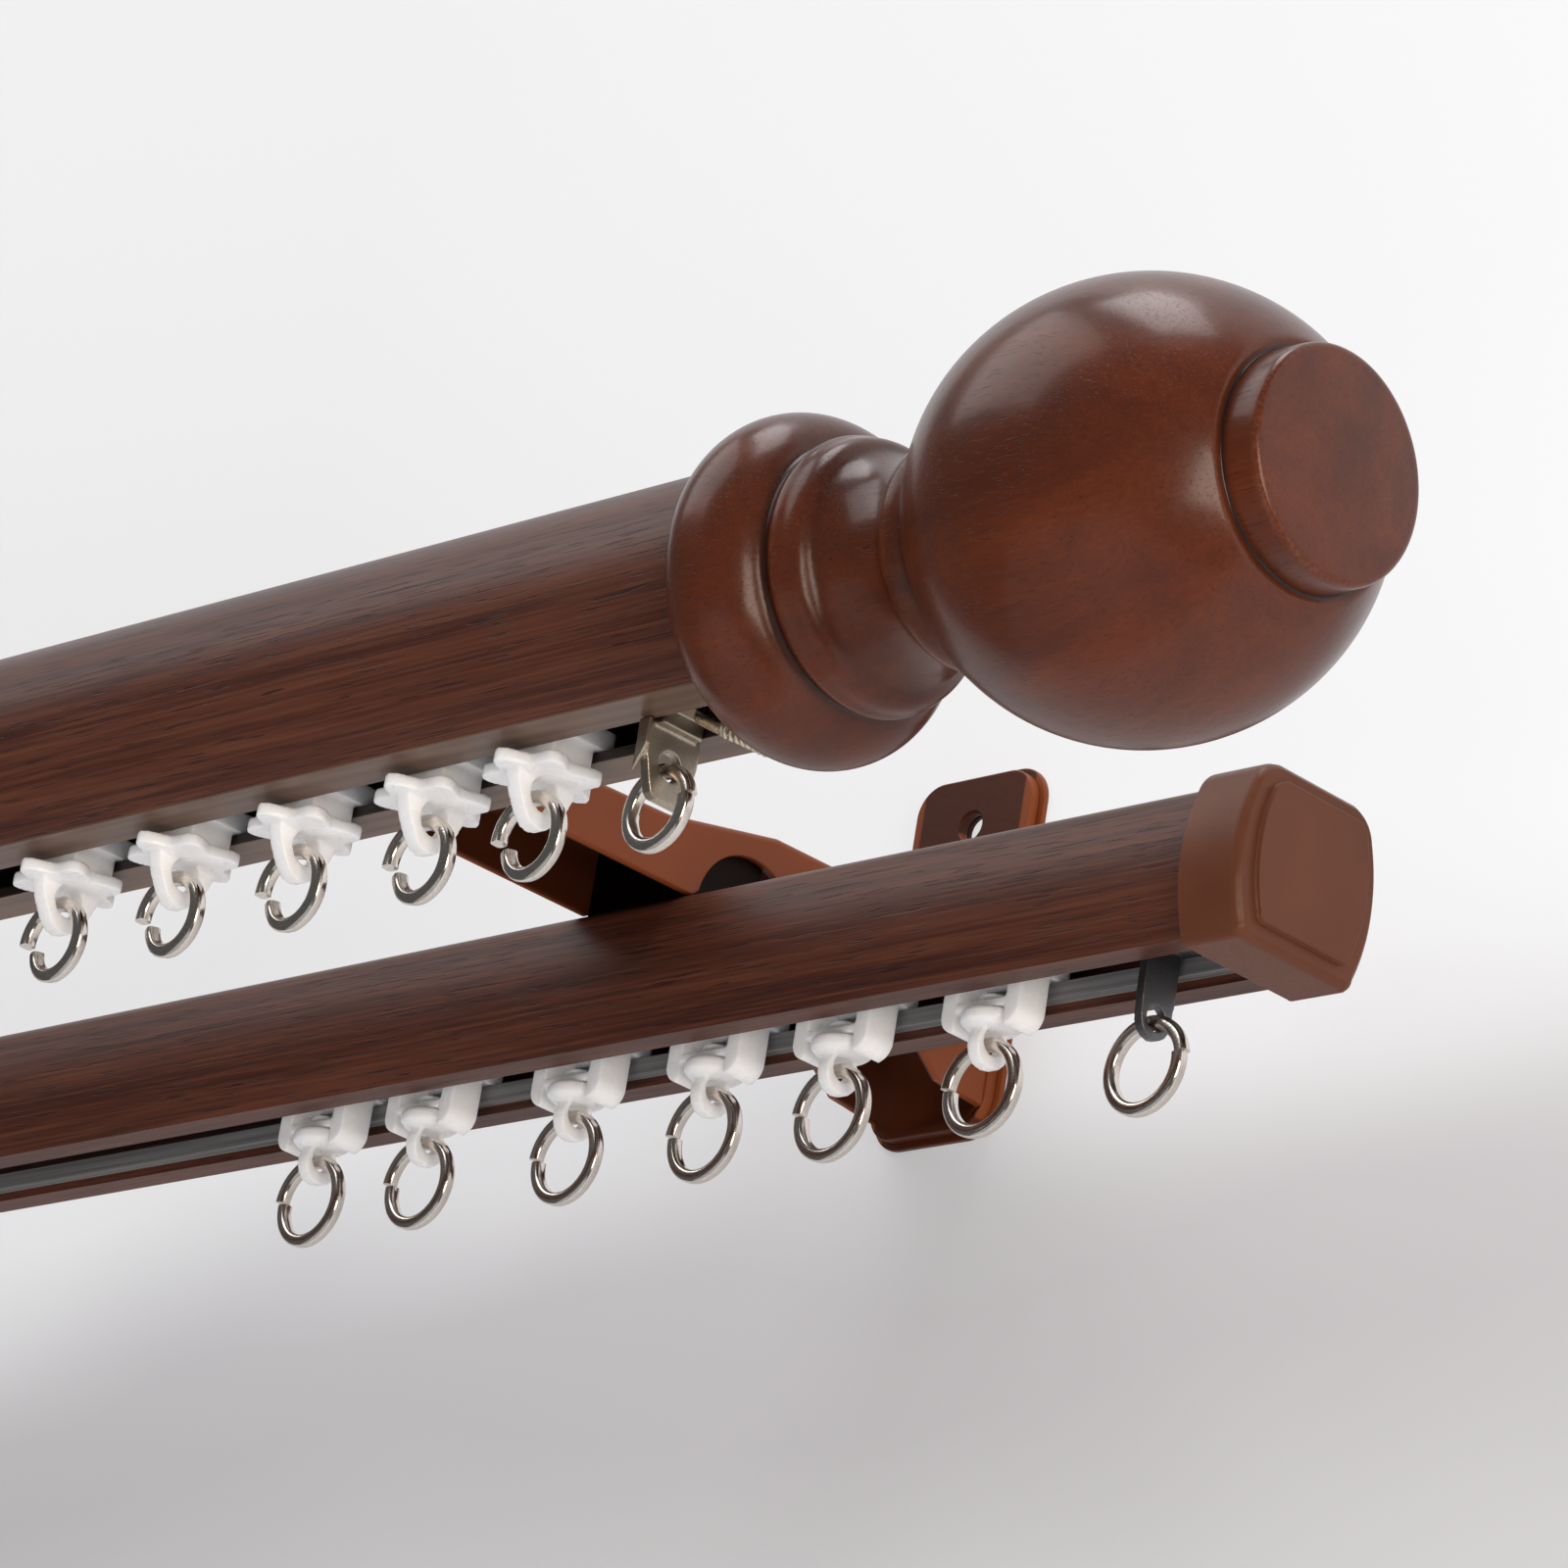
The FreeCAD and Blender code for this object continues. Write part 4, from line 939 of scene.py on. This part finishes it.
class CURTAINPOLE_OT_stage(bpy.types.Operator):
    """Pale wall and floor, soft lights and the camera"""
    bl_idname = "curtainpole.stage"
    bl_label = "Stage"

    # The camera as worked out from the photo's vanishing lines, counted from the front pole's axis
    camera_place = Vector((887.75, -519.0, -322.0)) * MM
    camera_right = Vector((0.701, 0.696, 0.153))
    camera_forward = Vector((-0.696, 0.623, 0.356))
    focal_share = 7050 / 1600

    def one_sided_painted_light(self, looks):
        """Matt white seen from its front only, with painted light: a white glow mixed in where the photo's
        wall is bright, more of it higher up and to the right, and a painted shadow band on the wall below the
        poles.

        The glow is for the camera and for reflections: it puts no light on the object.
        """
        # Heights of the painted glow and of the painted shadow band
        # In metres from the front pole's axis
        painted_light_low, painted_light_high = -0.015, 0.045
        painted_shadow_top, painted_shadow_full, painted_shadow_end, painted_shadow_bottom = 0.02, -0.02, -0.04, -0.16
        finish = Finish("Pale stage with painted light", {})
        tree = finish.tree
        tree.nodes.remove(finish.shader)
        place = finish.add("ShaderNodeSeparateXYZ", {0: finish.stretched(1000, 1000, FRONT_AXIS)})
        # Painted light and shade: soft noise that wobbles the edges of the glow and of the shadow band
        painted_light_patches = finish.noise(finish.stretched(220, 90), scale=1.0, detail=2.0)
        height = finish.sum(place.outputs[2], finish.band(painted_light_patches, 0.3, 0.7, -0.016, 0.016))
        # Painted light: more white glow higher up the wall
        high = finish.add("ShaderNodeMapRange", {
            "Value": height, "From Min": painted_light_low, "From Max": painted_light_high, "To Min": 0.10, "To Max": 0.62},
            interpolation_type="SMOOTHSTEP").outputs[0]
        # Painted light: the glow grows towards the right
        painted_light_share = finish.sum(high, finish.band(place.outputs[0], 0.0, 0.40, 0.7, 1.6), "MULTIPLY")
        path = finish.add("ShaderNodeLightPath")
        seen = finish.sum(path.outputs["Is Camera Ray"], path.outputs["Is Glossy Ray"], "MAXIMUM")
        # Painted shadow: a darker band on the wall below the poles, in the grey below
        dip = finish.sum(finish.band(height, painted_shadow_top, painted_shadow_full), finish.band(height, painted_shadow_bottom, painted_shadow_end),
                         "MULTIPLY")
        diffuse = finish.add("ShaderNodeBsdfDiffuse", {
            "Color": finish.mix(dip, looks.wall, (0.60, 0.59, 0.61, 1))})
        # The painted glow: white sent to the camera and to reflections, though the wall is no lamp
        white = finish.add("ShaderNodeEmission", {"Color": (0.985, 0.985, 1.0, 1)})
        front = finish.add("ShaderNodeMixShader", {
            0: finish.sum(seen, painted_light_share, "MULTIPLY"), 1: diffuse.outputs[0], 2: white.outputs[0]})
        clear = finish.add("ShaderNodeBsdfTransparent")
        behind = finish.add("ShaderNodeNewGeometry").outputs["Backfacing"]
        both = finish.add("ShaderNodeMixShader", {0: behind, 1: front.outputs[0], 2: clear.outputs[0]})
        output = tree.nodes["Material Output"]
        tree.links.new(both.outputs[0], output.inputs["Surface"])
        return finish.material

    def sheet(self, name, corners, material):
        mesh = bpy.data.meshes.new(name)
        mesh.from_pydata(corners, [], [tuple(range(len(corners)))])
        mesh.materials.append(material)
        show(name, mesh)

    def softbox(self, name, direction, distance, size, power, aim, mirrored=True, colour=(1, 1, 1)):
        lamp = bpy.data.lights.new(name, "AREA")
        lamp.shape = "RECTANGLE"
        lamp.size, lamp.size_y = size
        lamp.energy, lamp.color = power, colour
        light = bpy.data.objects.new(name, lamp)
        bpy.context.scene.collection.objects.link(light)
        light.location = aim + Vector(direction).normalized() * distance
        light.rotation_euler = (aim - light.location).to_track_quat("-Z", "Y").to_euler()
        light.visible_glossy = mirrored

    def execute(self, context):
        scene, looks = context.scene, context.scene.stage_looks
        scene.view_settings.view_transform = "Standard"
        pale = self.one_sided_painted_light(looks)
        reach, drop, rise = 4.0, -4.0, 2.5
        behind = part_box("wall_plate_right")[1].y + 0.05 * MM
        self.sheet("wall", ((-reach, behind, drop), (reach, behind, drop), (reach, behind, rise),
                            (-reach, behind, rise)), pale)
        self.sheet("floor", ((-reach, -2 * reach, drop), (reach, -2 * reach, drop), (reach, behind, drop),
                             (-reach, behind, drop)), pale)
        aim = middle("finial_right")
        self.softbox("key", (-0.5, -0.5, 0.72), 1.8, (1.5, 1.2), looks.key_power, aim)
        self.softbox("top", (-0.05, -0.10, 1.0), 1.5, (0.9, 0.5), looks.top_power, aim)
        self.softbox("side", (0.95, -0.35, -0.1), 1.2, (0.6, 0.6), looks.side_power, aim,
                     colour=(1, 0.86, 0.72))
        self.softbox("fill", (0.1, -0.6, -0.8), 2.0, (1.4, 1.4), looks.fill_power, aim,
                     mirrored=False)
        world = bpy.data.worlds.new("Room")
        scene.world = world
        world.use_nodes = True
        nodes, links = world.node_tree.nodes, world.node_tree.links
        room = nodes["Background"]
        room.inputs["Color"].default_value = (0.97, 0.98, 1.0, 1)
        path = nodes.new("ShaderNodeLightPath")
        mirrored, level = nodes.new("ShaderNodeMapRange"), nodes.new("ShaderNodeMapRange")
        mirrored.inputs["To Min"].default_value = looks.ambient
        mirrored.inputs["To Max"].default_value = looks.dark_room
        level.inputs["To Max"].default_value = 1.0
        links.new(path.outputs["Is Glossy Ray"], mirrored.inputs["Value"])
        links.new(mirrored.outputs[0], level.inputs["To Min"])
        links.new(path.outputs["Is Camera Ray"], level.inputs["Value"])
        links.new(level.outputs[0], room.inputs["Strength"])
        lens = bpy.data.cameras.new("Camera")
        lens.sensor_width = 36.0
        lens.lens = lens.sensor_width * self.focal_share
        lens.clip_start, lens.clip_end = 0.05, 30.0
        camera = bpy.data.objects.new("Camera", lens)
        scene.collection.objects.link(camera)
        right = self.camera_right.normalized()
        back = -self.camera_forward.normalized()
        up = back.cross(right).normalized()
        turn = Matrix((right, up, back)).transposed().to_4x4()
        camera.matrix_world = Matrix.Translation(FRONT_AXIS + self.camera_place) @ turn
        scene.camera = camera
        return {"FINISHED"}


class CURTAINPOLE_PT_panel(bpy.types.Panel):
    """Lists what makes the curtain pole"""
    bl_idname = "CURTAINPOLE_PT_panel"
    bl_label = "Curtain pole"
    bl_space_type = "VIEW_3D"
    bl_region_type = "UI"
    bl_category = "Curtain pole"

    def draw(self, context):
        for operator in OPERATORS:
            self.layout.operator(operator.bl_idname)
        for group in LOOKS:
            looks = getattr(context.scene, group)
            for name in looks.__annotations__:
                self.layout.prop(looks, name)


LOOKS = {
    "pole_looks": PoleLooks, "finial_looks": FinialLooks, "hardware_looks": HardwareLooks,
    "stage_looks": StageLooks,
}
OPERATORS = (
    CURTAINPOLE_OT_stage, CURTAINPOLE_OT_poles, CURTAINPOLE_OT_finials, CURTAINPOLE_OT_finial_screws,
    CURTAINPOLE_OT_end_caps, CURTAINPOLE_OT_brackets, CURTAINPOLE_OT_gliders, CURTAINPOLE_OT_stops,
    CURTAINPOLE_OT_rings,
)
CLASSES = tuple(LOOKS.values()) + OPERATORS + (CURTAINPOLE_PT_panel,)


def register():
    for item in CLASSES:
        bpy.utils.register_class(item)
    for name, group in LOOKS.items():
        setattr(bpy.types.Scene, name, bpy.props.PointerProperty(type=group))


def unregister():
    for name in LOOKS:
        delattr(bpy.types.Scene, name)
    for item in reversed(CLASSES):
        bpy.utils.unregister_class(item)


def main():
    register()
    for operator in OPERATORS:
        group, name = operator.bl_idname.split(".")
        getattr(getattr(bpy.ops, group), name)()


if __name__ == "__main__":
    main()
